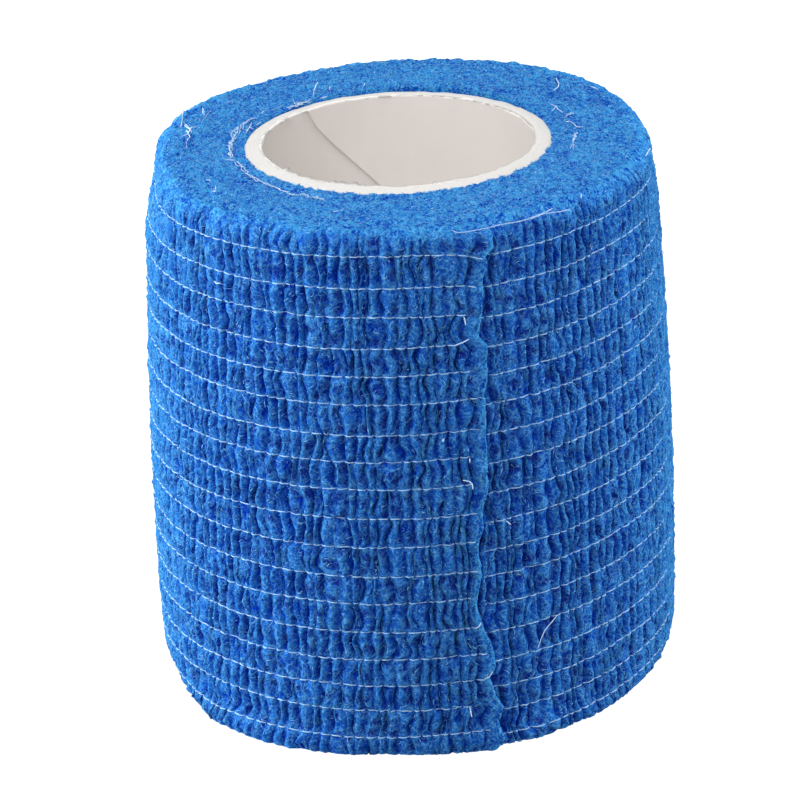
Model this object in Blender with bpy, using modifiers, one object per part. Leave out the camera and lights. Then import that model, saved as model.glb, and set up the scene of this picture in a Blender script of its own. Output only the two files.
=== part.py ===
"""Cohesive bandage roll: a strip of crinkled, self-gripping cloth wound on a cardboard tube.

Units are metres and +Z is up. The roll stands on its flat lower end with the tube upright. -Y is the
front, and the strip's cut end faces it, a little towards +X. Seen from above, the strip runs
clockwise from its cut end, and each turn lies a little further in than the one outside it.
"""
import math

import bmesh
import bpy
from mathutils import Vector, noise

MM = 0.001
FULL_TURN = 2 * math.pi

# Cardboard tube
TUBE_HEIGHT = 50.4 * MM
TUBE_BORE = 25.0 * MM
TUBE_WALL = 1.65 * MM
TUBE_ASIDE = -0.45 * MM             # the winding has settled a little to one side of the tube
TUBE_EDGE_ROUNDING = 0.35 * MM
TUBE_STEPS = 64

# Wound cloth
CLOTH_WIDTH = 50.0 * MM
ROLL_RADIUS = 24.7 * MM             # the outermost turn, at its cut end
TURN_THICKNESS = 1.05 * MM          # one crinkled turn, between its mean faces
PIECE_GAP = 0.3 * MM
SPIRAL_STEP = TURN_THICKNESS + PIECE_GAP   # how far the winding comes in over one turn
FULLNESS = (                        # (height, how much fuller the roll is there)
    (0.0 * MM, 0.0 * MM),
    (6.0 * MM, 0.25 * MM),
    (22.0 * MM, 0.3 * MM),
    (31.0 * MM, 0.0 * MM),
    (41.0 * MM, -0.45 * MM),
    (50.0 * MM, -0.7 * MM),
)

# Cut end of the outermost turn: how far it runs on to the right (lead) at each height
CUT_DIRECTION = math.radians(14.0)  # from the front, towards +X
CUT_EDGE = (                        # (height, lead)
    (0.0 * MM, 0.3 * MM),
    (2.9 * MM, 0.4 * MM),
    (4.3 * MM, 0.9 * MM),
    (6.5 * MM, 0.0 * MM),
    (11.0 * MM, -0.5 * MM),
    (20.0 * MM, -0.8 * MM),
    (24.0 * MM, -0.3 * MM),
    (31.5 * MM, 0.0 * MM),
    (37.5 * MM, 0.5 * MM),
    (42.0 * MM, 0.1 * MM),
    (47.5 * MM, 0.4 * MM),
    (50.0 * MM, 1.4 * MM),
)
CUT_LIP_WIDTH = 0.7 * MM            # the rounded, lumpy lip beside the cut
ROOT_OVERLAP = math.radians(10)     # how far the turn's root runs on under its own cut end

# Thread channels and crinkles on the outermost turn
THREAD_CHANNELS = 18
THREAD_PITCH = 2.74 * MM
LOWEST_CHANNEL = 0.8 * MM           # at the root; the strip climbs from there to its cut end
STRIP_CLIMB = 0.75 * MM             # over the outermost turn
CHANNEL_DEPTH = 0.22 * MM
BAND_CROWN = 0.12 * MM              # how far a band swells between two channels
CRINKLE_HEIGHT = 0.2 * MM
CRINKLE_SEED_PITCH = 1.7            # spacing of the noise that makes the crinkles uneven
TURN_COLUMNS = 104
RIM_ROUNDING = 0.8 * MM             # the worn outer rim at the top
FOOT_ROUNDING = 0.3 * MM

# Inner turns
FACE_RIDGES = 5                     # the wound turns that stand out on the upper face
RIDGE_DEPTH = 0.14 * MM
FACE_RISE = 0.2 * MM                # the upper face stands a little prouder beside the tube
FACE_UNEVENNESS = 0.12 * MM
INNER_COLUMNS = 76
STEP_WIDTH = math.radians(0.6)      # the face where the inner turns step out to the root's level


def remove_startup_objects():
    for item in list(bpy.data.objects):
        bpy.data.objects.remove(item, do_unlink=True)


def new_collection(name):
    collection = bpy.data.collections.new(name)
    bpy.context.scene.collection.children.link(collection)
    return collection


def new_material(name, colour, roughness):
    material = bpy.data.materials.new(name)
    material.use_nodes = True
    shader = material.node_tree.nodes["Principled BSDF"]
    shader.inputs["Base Color"].default_value = (*colour, 1.0)
    shader.inputs["Roughness"].default_value = roughness
    shader.inputs["Metallic"].default_value = 0.0
    return material


def new_object(name, mesh, material, collection):
    mesh.materials.append(material)
    part = bpy.data.objects.new(name, mesh)
    collection.objects.link(part)
    return part


def smooth_step(value):
    value = max(0.0, min(1.0, value))
    return value * value * (3 - 2 * value)


def read_table(table, position):
    """Straight-line reading of a short (position, value) table."""
    for (start, low), (end, high) in zip(table, table[1:]):
        if position <= end:
            return low + (high - low) * (position - start) / (end - start)
    return table[-1][1]


def winding_radius(turn, height=CLOTH_WIDTH / 2):
    """Mean outer radius of the winding, where turn is the angle wound back from the cut end."""
    return ROLL_RADIUS + read_table(FULLNESS, height) - SPIRAL_STEP * turn / FULL_TURN


def wound_point(radius, turn, height):
    direction = CUT_DIRECTION - turn
    return Vector((radius * math.sin(direction), -radius * math.cos(direction), height))


def loft(name, rings, closed):
    """One closed solid through rings of points. An open loft gets a cap at each end."""
    bm = bmesh.new()
    rows = [[bm.verts.new(point) for point in ring] for ring in rings]
    count = len(rows[0])
    pairs = list(zip(rows, rows[1:]))
    if closed:
        pairs.append((rows[-1], rows[0]))
    for near, far in pairs:
        for i in range(count):
            j = (i + 1) % count
            bm.faces.new((near[i], near[j], far[j], far[i]))
    if not closed:
        caps = [bm.faces.new(rows[0]), bm.faces.new(rows[-1])]
        bmesh.ops.triangulate(bm, faces=caps, ngon_method="EAR_CLIP")
    bmesh.ops.recalc_face_normals(bm, faces=bm.faces)
    mesh = bpy.data.meshes.new(name)
    bm.to_mesh(mesh)
    bm.free()
    return mesh


def channel_height(index, turn):
    climb = STRIP_CLIMB * (1 - turn / FULL_TURN)
    return LOWEST_CHANNEL + climb + THREAD_PITCH * index


def crinkle(column, band):
    """Uneven upright ribs: each column is a ridge or a dip, and each band starts its own run."""
    side = 1 if (column + band) % 2 else -1
    place = Vector((column * CRINKLE_SEED_PITCH, band * CRINKLE_SEED_PITCH, 0.5))
    strength = 0.65 + 0.7 * noise.noise(place)
    return side * strength * CRINKLE_HEIGHT


def turn_start(height):
    """Angle at which the strip's cut end lies at this height."""
    return -read_table(CUT_EDGE, height) / ROLL_RADIUS


def turn_section(column, progress, lip):
    """One upright section of the outermost turn: its outer face from foot to rim, then its inner face."""
    root = FULL_TURN + ROOT_OVERLAP - STEP_WIDTH - PIECE_GAP / winding_radius(FULL_TURN)
    start = turn_start(CLOTH_WIDTH / 2)
    turn = start + (root - start) * progress
    fade = smooth_step((FULL_TURN - math.radians(4) - turn) / math.radians(6))

    def place(height, relief):
        edge = turn_start(height) + lip / ROLL_RADIUS
        here = edge + (root - edge) * progress
        return wound_point(winding_radius(here, height) + relief, here, height)

    lip_drop = 0.25 * MM if lip == 0 and progress == 0 else 0.0
    points = [place(0.0, -FOOT_ROUNDING - lip_drop)]
    for index in range(THREAD_CHANNELS):
        channel = channel_height(index, min(turn, FULL_TURN))
        points.append(place(channel, -CHANNEL_DEPTH * fade - lip_drop))
        if index < THREAD_CHANNELS - 1:
            relief = (BAND_CROWN + crinkle(column, index)) * fade
            points.append(place(channel + THREAD_PITCH / 2, relief - lip_drop))
    points.append(place(channel + (CLOTH_WIDTH - channel) * 0.55, BAND_CROWN * fade - lip_drop))
    points.append(place(CLOTH_WIDTH - RIM_ROUNDING * 0.3, -RIM_ROUNDING * 0.35 - lip_drop))
    points.append(place(CLOTH_WIDTH, -RIM_ROUNDING - lip_drop))
    for height in (CLOTH_WIDTH, CLOTH_WIDTH / 2, 0.0):
        points.append(place(height, -TURN_THICKNESS))
    return points


def outer_turn_mesh():
    rings = [turn_section(0, 0.0, 0.0), turn_section(1, 0.0, CUT_LIP_WIDTH)]
    for column in range(1, TURN_COLUMNS + 1):
        rings.append(turn_section(column + 1, column / TURN_COLUMNS, CUT_LIP_WIDTH))
    return loft("outer_turn", rings, closed=False)


def inner_section(turn):
    """One upright section of the inner turns, from the foot up the outer side and over the ridged face."""
    inner = TUBE_BORE / 2 + TUBE_WALL + PIECE_GAP

    def side(height, rounding=0.0):
        return wound_point(winding_radius(turn, height) - SPIRAL_STEP - rounding, turn, height)

    points = [side(0.0, FOOT_ROUNDING)]
    for height, fullness in FULLNESS[1:-1]:
        points.append(side(height))
    points.append(side(CLOTH_WIDTH - FOOT_ROUNDING))
    steps = 2 * FACE_RIDGES
    outer = winding_radius(turn, CLOTH_WIDTH) - SPIRAL_STEP
    mean_outer = winding_radius(FULL_TURN / 2, CLOTH_WIDTH) - SPIRAL_STEP
    for i in range(steps + 1):
        share = 1 - i / steps
        # the outer ridges follow the winding, and the inner ones run round the tube
        radius = inner + (mean_outer - inner) * share + (outer - mean_outer) * share ** 3
        if i == 0:
            radius -= FOOT_ROUNDING
        depth = RIDGE_DEPTH if i % 2 == 0 else 0.0
        uneven = FACE_UNEVENNESS * noise.noise(Vector((i * 0.9, 2 * math.sin(turn), 2 * math.cos(turn))))
        rise = FACE_RISE * (1 - share)
        point = wound_point(radius, turn, CLOTH_WIDTH + rise - depth - uneven)
        point.x += TUBE_ASIDE * (1 - share)
        points.append(point)
    foot = wound_point(inner, turn, 0.0)
    foot.x += TUBE_ASIDE
    points.append(foot)
    return points


def wound_roll_mesh():
    first = ROOT_OVERLAP
    last = FULL_TURN + ROOT_OVERLAP - STEP_WIDTH
    turns = [first + (last - first) * column / INNER_COLUMNS for column in range(INNER_COLUMNS + 1)]
    return loft("wound_roll", [inner_section(turn) for turn in turns], closed=True)


def core_object(material, collection):
    """The tube, turned from the section of its wall with rounded edges."""
    outer = TUBE_BORE / 2 + TUBE_WALL
    inner = TUBE_BORE / 2
    cut = TUBE_EDGE_ROUNDING
    section = [
        (outer - cut, TUBE_HEIGHT), (outer, TUBE_HEIGHT - cut),
        (outer, 0.0), (inner, 0.0),
        (inner, TUBE_HEIGHT - cut), (inner + cut, TUBE_HEIGHT),
    ]
    mesh = bpy.data.meshes.new("core")
    edges = [(i, (i + 1) % len(section)) for i in range(len(section))]
    mesh.from_pydata([(radius, 0.0, height) for radius, height in section], edges, [])
    tube = new_object("core", mesh, material, collection)
    tube.location.x = TUBE_ASIDE
    screw = tube.modifiers.new("turned wall", "SCREW")
    screw.axis = "Z"
    screw.angle = FULL_TURN
    screw.steps = TUBE_STEPS
    screw.render_steps = TUBE_STEPS
    screw.use_merge_vertices = True
    screw.merge_threshold = 0.00001
    return tube


def centre_on_origin(parts):
    """Put the middle of the whole roll's box over the origin, with its foot at zero height."""
    bpy.context.view_layer.update()
    graph = bpy.context.evaluated_depsgraph_get()
    points = []
    for part in parts:
        mesh = part.evaluated_get(graph).to_mesh()
        points += [part.matrix_world @ vertex.co for vertex in mesh.vertices]
    for axis in (0, 1):
        values = [point[axis] for point in points]
        middle = (min(values) + max(values)) / 2
        for part in parts:
            part.location[axis] -= middle


def main():
    remove_startup_objects()
    collection = new_collection("cohesive_bandage_roll")
    cardboard = new_material("cream_cardboard", (0.76, 0.72, 0.66), 0.85)
    cloth = new_material("blue_crinkled_cloth", (0.025, 0.17, 0.55), 0.9)
    loose_cloth = new_material("blue_crinkled_cloth_outer", (0.03, 0.19, 0.6), 0.9)
    parts = [
        core_object(cardboard, collection),
        new_object("wound_roll", wound_roll_mesh(), cloth, collection),
        new_object("outer_turn", outer_turn_mesh(), loose_cloth, collection),
    ]
    for part in parts:
        if part.name != "core":
            part.data.shade_smooth()
            part.data.set_sharp_from_angle(angle=math.radians(50))
    centre_on_origin(parts)
    bpy.context.view_layer.update()


main()
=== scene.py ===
# %% [markdown]
# # A roll of cohesive bandage
# The roll is one long strip of self-gripping cloth, wound on a cardboard tube and standing on its end.
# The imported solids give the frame: where the tube stands, how far the winding reaches and where the cut
# end lies. This lesson dresses them with the crinkled cloth, its elastic threads and its loose fibres.

# %% Load the frame
import math

import bpy
import numpy as np
from mathutils import Matrix, Vector


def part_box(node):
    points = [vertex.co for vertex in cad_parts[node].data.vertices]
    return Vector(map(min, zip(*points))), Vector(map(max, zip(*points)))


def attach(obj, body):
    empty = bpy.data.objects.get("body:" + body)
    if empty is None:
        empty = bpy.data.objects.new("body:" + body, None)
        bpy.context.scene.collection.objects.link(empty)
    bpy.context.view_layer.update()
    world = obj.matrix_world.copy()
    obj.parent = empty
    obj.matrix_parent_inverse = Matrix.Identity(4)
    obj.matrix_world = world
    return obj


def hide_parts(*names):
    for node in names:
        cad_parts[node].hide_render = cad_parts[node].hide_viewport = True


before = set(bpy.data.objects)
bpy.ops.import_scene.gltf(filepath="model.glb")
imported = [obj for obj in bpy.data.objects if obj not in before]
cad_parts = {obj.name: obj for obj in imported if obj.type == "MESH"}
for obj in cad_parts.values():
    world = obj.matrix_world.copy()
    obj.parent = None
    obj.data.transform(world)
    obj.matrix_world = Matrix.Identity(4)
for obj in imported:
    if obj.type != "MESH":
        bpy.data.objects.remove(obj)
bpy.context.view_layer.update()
MM = 0.001
FULL_TURN = 2 * math.pi

# %% [markdown]
# ## The camera
# The photograph looks down on the roll from about 22 degrees with a long lens, and the picture leans a
# little. The camera aims at a point near the middle of the winding's axis, and is then rolled about its
# own line of sight, which keeps the floor level for the lights.

# %% Camera
tube_low, tube_high = (np.array(corner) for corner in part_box("core"))
TUBE_X, TUBE_Y = ((tube_low + tube_high) / 2)[:2]
TUBE_ASIDE = -0.45 * MM             # the tube stands a little to the left of the winding's own axis
AXIS_X, AXIS_Y = TUBE_X - TUBE_ASIDE, TUBE_Y
CAMERA_DISTANCE = 443 * MM
CAMERA_HEIGHT_ANGLE = math.radians(22.5)
CAMERA_LEAN = math.radians(2.4)
CAMERA_LENS = 213.6                 # millimetres, on the sensor below
SENSOR_WIDTH = 36                   # millimetres
NEAREST_SEEN = 10 * MM
AIM_ASIDE = -1.3 * MM
AIM_HEIGHT = 24.6 * MM


def aimed(thing, place, target, lean=0.0):
    """Stand a camera or lamp at a place, looking at a target."""
    look = Vector(target) - Vector(place)
    turn = look.to_track_quat("-Z", "Y").to_matrix().to_4x4()
    thing.matrix_world = Matrix.Translation(place) @ turn @ Matrix.Rotation(lean, 4, "Z")


camera = bpy.data.objects.new("camera", bpy.data.cameras.new("camera"))
bpy.context.scene.collection.objects.link(camera)
camera.data.lens = CAMERA_LENS
camera.data.sensor_width = SENSOR_WIDTH
camera.data.clip_start = NEAREST_SEEN
target = (AXIS_X + AIM_ASIDE, AXIS_Y, AIM_HEIGHT)
stand = (
    target[0],
    target[1] - CAMERA_DISTANCE * math.cos(CAMERA_HEIGHT_ANGLE),
    target[2] + CAMERA_DISTANCE * math.sin(CAMERA_HEIGHT_ANGLE),
)
aimed(camera, stand, target, -CAMERA_LEAN)
bpy.context.scene.camera = camera
print("camera at", [round(value, 3) for value in stand])

# %% [markdown]
# ## Light
# The photograph is a catalogue picture on pure white. The light comes mostly from above, so the top face
# is the brightest cloth and the front stays deeper blue. A bright world gives the even fill of a white
# studio, one large lamp hangs behind the roll and a small one before it, and two low, wide lamps brighten
# its sides. Those two stay below the tube's rim, so that they don't shine down into it.

# %% World and lamps
WHITE = (1.0, 1.0, 1.0, 1)
WORLD_STRENGTH = 0.5
# each lamp's place, width and height in metres, and its power in watts
LAMPS = {
    "overhead_light": ((-0.12, 0.2, 0.7), 0.45, 0.45, 1.5),
    "near_light": ((-0.05, -0.1, 0.27), 0.15, 0.15, 0.42),
    "left_light": ((-0.6, 0.06, 0.027), 0.5, 0.045, 5.4),
    "right_light": ((0.6, 0.06, 0.027), 0.5, 0.045, 3.2),
}
world = bpy.data.worlds.new("studio")
bpy.context.scene.world = world
world.use_nodes = True
background = world.node_tree.nodes["Background"]
background.inputs["Color"].default_value = WHITE
background.inputs["Strength"].default_value = WORLD_STRENGTH
for name, (place, width, height, power) in LAMPS.items():
    light = bpy.data.lights.new(name, "AREA")
    light.shape = "RECTANGLE"
    light.size = width
    light.size_y = height
    light.energy = power
    lamp = bpy.data.objects.new(name, light)
    bpy.context.scene.collection.objects.link(lamp)
    aimed(lamp, place, (AXIS_X, AXIS_Y, AIM_HEIGHT))
    print(name, "gives", power, "W")

# %% [markdown]
# ## The floor
# The roll stands on white paper. The camera sees the paper as pure white, as in the photograph, but as a
# light it is dimmer, because paper that bright would make the foot of the roll glow. A material can tell
# the two apart by asking whether the ray comes straight from the camera.

# %% Floor
FLOOR_REACH = 2.0                   # metres from its middle to each side
PAPER_GREY = (0.2, 0.2, 0.2, 1)
GLOW_AS_LIGHT = 0.38
GLOW_SEEN = 1.0
corners = [(x * FLOOR_REACH, y * FLOOR_REACH, 0) for x, y in ((-1, -1), (1, -1), (1, 1), (-1, 1))]
floor_mesh = bpy.data.meshes.new("floor")
floor_mesh.from_pydata(corners, [], [(0, 1, 2, 3)])
floor = bpy.data.objects.new("floor", floor_mesh)
bpy.context.scene.collection.objects.link(floor)
floor_finish = bpy.data.materials.new("floor_paper")
floor_finish.use_nodes = True
paper_nodes, paper_links = floor_finish.node_tree.nodes, floor_finish.node_tree.links
paper = paper_nodes["Principled BSDF"]
paper.inputs["Base Color"].default_value = PAPER_GREY
paper.inputs["Emission Color"].default_value = WHITE
glow = paper_nodes.new("ShaderNodeMapRange")
glow.inputs["To Min"].default_value = GLOW_AS_LIGHT
glow.inputs["To Max"].default_value = GLOW_SEEN
paper_links.new(paper_nodes.new("ShaderNodeLightPath").outputs["Is Camera Ray"], glow.inputs["Value"])
paper_links.new(glow.outputs[0], paper.inputs["Emission Strength"])
floor_mesh.materials.append(floor_finish)
bpy.context.scene.view_settings.view_transform = "Standard"
print("floor:", 2 * FLOOR_REACH, "m square")

# %% [markdown]
# ## Measures of the winding
# The strip is wound clockwise from its cut end, seen from above, and comes in by one layer a turn. A place
# on it is given by its turn, the angle wound back from the cut, and by its height. The roll is a little
# fuller near its foot than at its top. The main measures are the same as in the solids' source.

# %% Winding
CLOTH_WIDTH = 50.0 * MM
ROLL_RADIUS = 24.7 * MM             # the outermost turn, at its cut end
SPIRAL_STEP = 1.35 * MM             # how far the winding comes in over one turn
CUT_DIRECTION = math.radians(14)    # the cut end, measured from the front towards +X
TUBE_RADIUS = 14.15 * MM
FULLNESS_HEIGHTS = np.array([0, 6, 14, 22, 31, 41, 50]) * MM
FULLNESS = np.array([0.0, 0.25, 0.32, 0.28, 0.0, -0.45, -0.7]) * MM


def smooth_step(low, high, value):
    """Rises from 0 at the low value to 1 at the high one, gently at both ends."""
    share = np.clip((value - low) / (high - low), 0, 1)
    return share * share * (3 - 2 * share)


def mixed(first, second, share):
    """The first value where the share is 0, the second where it is 1, and between them a mix."""
    return first * (1 - share) + second * share


def winding_radius(turn, height):
    """Mean outer radius of the winding at a turn and a height."""
    return ROLL_RADIUS + np.interp(height, FULLNESS_HEIGHTS, FULLNESS) - SPIRAL_STEP * turn / FULL_TURN


def wound(radius, turn, height):
    """Points of the winding, from arrays of radius, turn and height."""
    direction = CUT_DIRECTION - turn
    x = AXIS_X + radius * np.sin(direction)
    y = AXIS_Y - radius * np.cos(direction)
    return np.stack(np.broadcast_arrays(x, y, height), -1)


print("roll radius at the cut, mm:", winding_radius(0, CLOTH_WIDTH / 2) / MM)

# %% [markdown]
# ## Uneven by nature
# Nothing on this cloth is regular. One seeded table of random values, read with smooth steps between its
# points, gives lumps of any size anywhere in space, and it gives the same lumps on every run. Where a row
# of things only has to differ, such as the widths of pleats, a random spread about a mean is enough.

# %% Lumps and spreads
LATTICE_SIDE = 32
SEED_SHIFT = 7.31                   # how far apart in the table two kinds of lump are read
chance = np.random.default_rng(5)
LATTICE = chance.random((LATTICE_SIDE,) * 3)


def lumps(points, pitch, seed=0):
    """Smooth random values from -1 to 1, about one lump to each pitch."""
    place = points / pitch + seed * SEED_SHIFT
    corner = np.floor(place).astype(int)
    part = place - corner
    part = part * part * (3 - 2 * part)
    total = 0
    for near in range(8):
        step = (near & 1, near >> 1 & 1, near >> 2)
        weight = 1
        for axis in range(3):
            weight = weight * (part[..., axis] if step[axis] else 1 - part[..., axis])
        cell = (corner + step) % LATTICE_SIDE
        total = total + weight * LATTICE[cell[..., 0], cell[..., 1], cell[..., 2]]
    return total * 2 - 1


def rough(points, layers, seed=0):
    """Lumps of several sizes at once: the rise, the pitch in millimetres and the number of each layer."""
    return sum(rise * lumps(points, pitch * MM, seed + number) for rise, pitch, number in layers)


def spread(mean, by, low, high, shape):
    """Random values about a mean, kept between a low and a high one."""
    return np.clip(mean + by * chance.standard_normal(shape), low, high)


print("lattice of", LATTICE.size, "random values")

# %% [markdown]
# ## Grids and marks
# Cloth, tube and felt are all surfaces with rows and columns, so one helper turns a grid of points into a
# mesh. It can close the grid on itself, as a ring needs. A mark keeps a number at each point, such as how
# deep it lies in a pleat, and the materials read it later.

# %% Grid helper
def grid_piece(name, points, around=False, across=False, flip=False):
    """A mesh of quads over rows and columns of points, joined up around its columns or rows on request."""
    rows, columns = points.shape[:2]
    index = np.arange(rows * columns).reshape(rows, columns)
    if around:
        index = np.concatenate([index, index[:, :1]], 1)
    if across:
        index = np.concatenate([index, index[:1]], 0)
    corners = [index[:-1, :-1], index[:-1, 1:], index[1:, 1:], index[1:, :-1]]
    faces = np.stack(corners[::-1] if flip else corners, -1).reshape(-1, 4)
    mesh = bpy.data.meshes.new(name)
    mesh.from_pydata(points.reshape(-1, 3).tolist(), [], faces.tolist())
    mesh.shade_smooth()
    piece = bpy.data.objects.new(name, mesh)
    bpy.context.scene.collection.objects.link(piece)
    print(name, "has", 2 * len(faces), "triangles")
    return piece


def mark(piece, name, values, kind="FLOAT", field="value"):
    """Keep a number, or a set of three, at each point of a piece, for its material to read."""
    layer = piece.data.attributes.new(name, kind, "POINT")
    layer.data.foreach_set(field, np.ascontiguousarray(values, dtype=np.float32).ravel())


print("helpers: grid_piece, mark")

# %% [markdown]
# ## The pleats
# The elastic threads pull the cloth together, so it stands in small upright pleats about a millimetre wide,
# each band between two threads with its own run. Pleats that stay in step from band to band would look
# machined, and free ones would break the mesh. So each valley between two pleats is one line of mesh
# columns, which wanders a little at every thread and bows a little in every band.

# %% Pleats along the strip
PLEATS = 148
STRIP_RADIUS = 24.1 * MM            # turns an angle into a length along the strip
ROOT_OVERLAP = math.radians(4)      # how far the strip runs on under its own cut end
ACROSS_PLEAT = np.array([0.0, 0.15, 0.37, 0.63, 0.85])      # mesh columns of one pleat, from its valley
PLEAT_COLUMNS = len(ACROSS_PLEAT)
strip_length = STRIP_RADIUS * (FULL_TURN + ROOT_OVERLAP)
pleat_widths = spread(mean=1, by=0.28, low=0.58, high=1.6, shape=PLEATS)
valley_places = np.concatenate([[0], np.cumsum(pleat_widths)])
valley_places *= strip_length / valley_places[-1]
print(PLEATS, "pleats on", round(strip_length / MM, 1), "mm of strip")

# %% [markdown]
# The threads part the strip into bands. On the roll they don't run level: the strip climbs over its last
# turn, and the cut end pulls the topmost threads down. So each thread has a height beside the cut end and
# another a full turn on, and its path runs from one to the other.

# %% Lines of the threads
# heights in millimetres, beside the cut end and a full turn on, below it
THREADS_AT_CUT = (2.2, 4.8, 7.3, 9.85, 12.5, 15.35, 18.0, 20.85, 23.6, 26.4, 29.0, 31.5, 34.4, 37.0, 39.6,
                  42.5, 45.2, 48.2)
THREADS_AT_ROOT = (1.3, 3.4, 5.8, 8.4, 11.3, 14.0, 16.8, 19.3, 22.0, 24.8, 27.6, 30.4, 33.2, 35.9, 38.5,
                   41.3, 44.1, 47.0)
RIM_LINE = (50.7, 50.0)
SECTION_END = 51.5
lines_at_cut = np.array((0.0, *THREADS_AT_CUT, RIM_LINE[0], SECTION_END)) * MM
lines_at_root = np.array((0.0, *THREADS_AT_ROOT, RIM_LINE[1], SECTION_END)) * MM
LINES = len(lines_at_cut)
THREAD_TILT = 0.3 * MM              # the threads climb a little towards +X
THREAD_DIP = 0.3 * MM               # they come down by this as they run in under the cut end
THREAD_STRAY = 0.07 * MM            # and they stray a little everywhere
CUT_DIPS = {18: 1.0, 17: 0.6, 16: 0.5, 15: 0.3}     # the top ones are pulled down at the cut, millimetres
CUT_DIP_REACH = 0.08                # radians over which that pull dies away
DIP_BEGINS, DIP_ENDS = (0.25, 0.8), (1.5, 4)        # radians before the thread has gone once round
STRAY_RING, STRAY_APART, STRAY_PITCH = 8, 3.7, 1.6  # where each thread reads its own stray from the lumps


def line_path(line, turn):
    """Path height of one line across the strip, at each turn."""
    share = np.clip(turn / FULL_TURN, 0, 1)
    path = mixed(lines_at_cut[line], lines_at_root[line], share)
    if 0 < line < LINES - 2:
        path = path + THREAD_TILT * (np.sin(CUT_DIRECTION - turn) - math.sin(CUT_DIRECTION))
        left_to_run = FULL_TURN - turn
        dip = smooth_step(*DIP_BEGINS, left_to_run) * (1 - smooth_step(*DIP_ENDS, left_to_run))
        path = path + THREAD_DIP * dip
        apart = np.full_like(turn, line * STRAY_APART)
        place = np.stack([np.sin(turn) * STRAY_RING, np.cos(turn) * STRAY_RING, apart], -1)
        path = path + THREAD_STRAY * lumps(place, STRAY_PITCH)
        path = path - CUT_DIPS.get(line, 0.0) * MM * np.exp(-np.clip(turn, 0, None) / CUT_DIP_REACH)
    return path


print(LINES - 1, "bands, about", np.diff(lines_at_cut).mean() / MM, "mm each")

# %% [markdown]
# Every valley gets its own depth, and some are lost where two pleats have grown together. Some pleats are
# hollow along their middle. Over the rim many stay shallow, as the felt has worn them down.

# %% Valleys and crests
VALLEYS = (LINES, PLEATS + 1)
WANDER, BOW, TWIST = 0.16 * MM, 0.22 * MM, 0.11 * MM
MERGED_SHARE, MERGED_DEPTH = 0.1, 0.3
HOLLOW_SHARE = 0.15
wander, bow, twist = (by * chance.standard_normal(VALLEYS) for by in (WANDER, BOW, TWIST))
for shift in (wander, bow, twist):
    shift[:, [0, -1]] = 0
valley_depth = spread(mean=1.02, by=0.32, low=0.5, high=1.45, shape=VALLEYS)
valley_depth[chance.random(VALLEYS) < MERGED_SHARE] = MERGED_DEPTH
valley_depth[LINES - 3:] *= chance.uniform(0.3, 1.15, PLEATS + 1)
hollow = chance.random((LINES, PLEATS)) < HOLLOW_SHARE
crest_height = spread(mean=1, by=0.16, low=0.6, high=1.35, shape=(LINES, PLEATS))
print("hollow pleats:", hollow.sum(), "of", hollow.size)

# %% [markdown]
# ## The last turn of cloth
# This is the strip's outermost turn, the sheet whose cut end shows at the front. Its section runs up the
# outside, over a worn rim and a little way in, where it felts into the top face. Scissors and wear left
# the cut end ragged, so its lead over a straight cut is given height by height.

# %% The cut end
# height and lead, in millimetres
CUT_EDGE = np.array((
    (0, -0.1), (1.2, 0.57), (2.9, 0.15), (4.1, 0.68), (5.5, 0.0), (7.3, -0.52), (8.2, 0.05), (9.3, 0.0),
    (10.2, -0.1), (11.4, -0.58), (13, -1.18), (14.6, -1.38), (15.6, -1.2), (17, -0.98), (18.2, -0.82),
    (19.2, -1.15), (20.7, -1.03), (22, -0.5), (24, -0.52), (25.3, 0.0), (28.3, 0.03), (32.4, 0.06),
    (34.1, 0.15), (34.6, -0.08), (35.7, 0.4), (39.1, 0.48), (39.9, -0.2), (41.6, 0.05), (43.9, 0.42),
    (45, 0.3), (46.9, 0.83), (47.4, 0.58), (48, 1.45), (49.5, 1.55), (51.5, 1.1),
)) * MM
CUT_RAGS = ((0.07, 0.9, 3), (0.07, 0.4, 4))


def cut_lead(height):
    """How far the cut end runs on past its mean line at each height, with a fine raggedness."""
    place = np.stack([height, height * 0, height * 0], -1)
    return np.interp(height, CUT_EDGE[:, 0], CUT_EDGE[:, 1]) + rough(place, CUT_RAGS) * MM


print("the cut end strays over", round(np.ptp(CUT_EDGE[:, 1]) / MM, 1), "mm")

# %% [markdown]
# Each row of the mesh lies at a share of its band, and its columns follow the valleys. Where two valleys
# would cross, the second is pushed on, so that the mesh never folds over itself.

# %% Rows and columns of the last turn
BAND_ROWS = (0.0, 0.1, 0.25, 0.42, 0.58, 0.75, 0.9)
rows = [(0, 0.0), (0, 0.5)]
for band in range(1, LINES - 2):
    rows += [(band, share) for share in BAND_ROWS]
rows += [(LINES - 2, 0.0), (LINES - 2, 0.4), (LINES - 2, 0.75), (LINES - 2, 1.0)]
LEAST_GAP = 0.36 * MM               # between two valleys
CUT_TAPER = 3 * MM                  # the columns beside the cut end follow it over this length


def pleat_columns(line, share):
    """Places along the strip of every mesh column in one row."""
    places = valley_places + mixed(wander[line], wander[min(line + 1, LINES - 1)], share)
    places = places + bow[line] * math.sin(math.pi * share) + twist[line] * math.sin(FULL_TURN * share)
    order = LEAST_GAP * np.arange(PLEATS + 1)
    places = np.maximum.accumulate(places - order) + order
    columns = places[:-1, None] + ACROSS_PLEAT * np.diff(places)[:, None]
    return np.append(columns.ravel(), places[-1])


along = np.array([pleat_columns(line, share) for line, share in rows])
turn_guess = along / STRIP_RADIUS
path = np.empty_like(along)
for row, (line, share) in enumerate(rows):
    below, above = line_path(line, turn_guess[row]), line_path(line + 1, turn_guess[row])
    path[row] = mixed(below, above, share)
along = along - cut_lead(path[:, :1]) * np.clip(1 - along / CUT_TAPER, 0, 1)
from_edge = along - along[:, :1]
turn = along / STRIP_RADIUS
direction = np.degrees(CUT_DIRECTION - turn)
print("last turn: rows", along.shape[0], "columns", along.shape[1])

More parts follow.
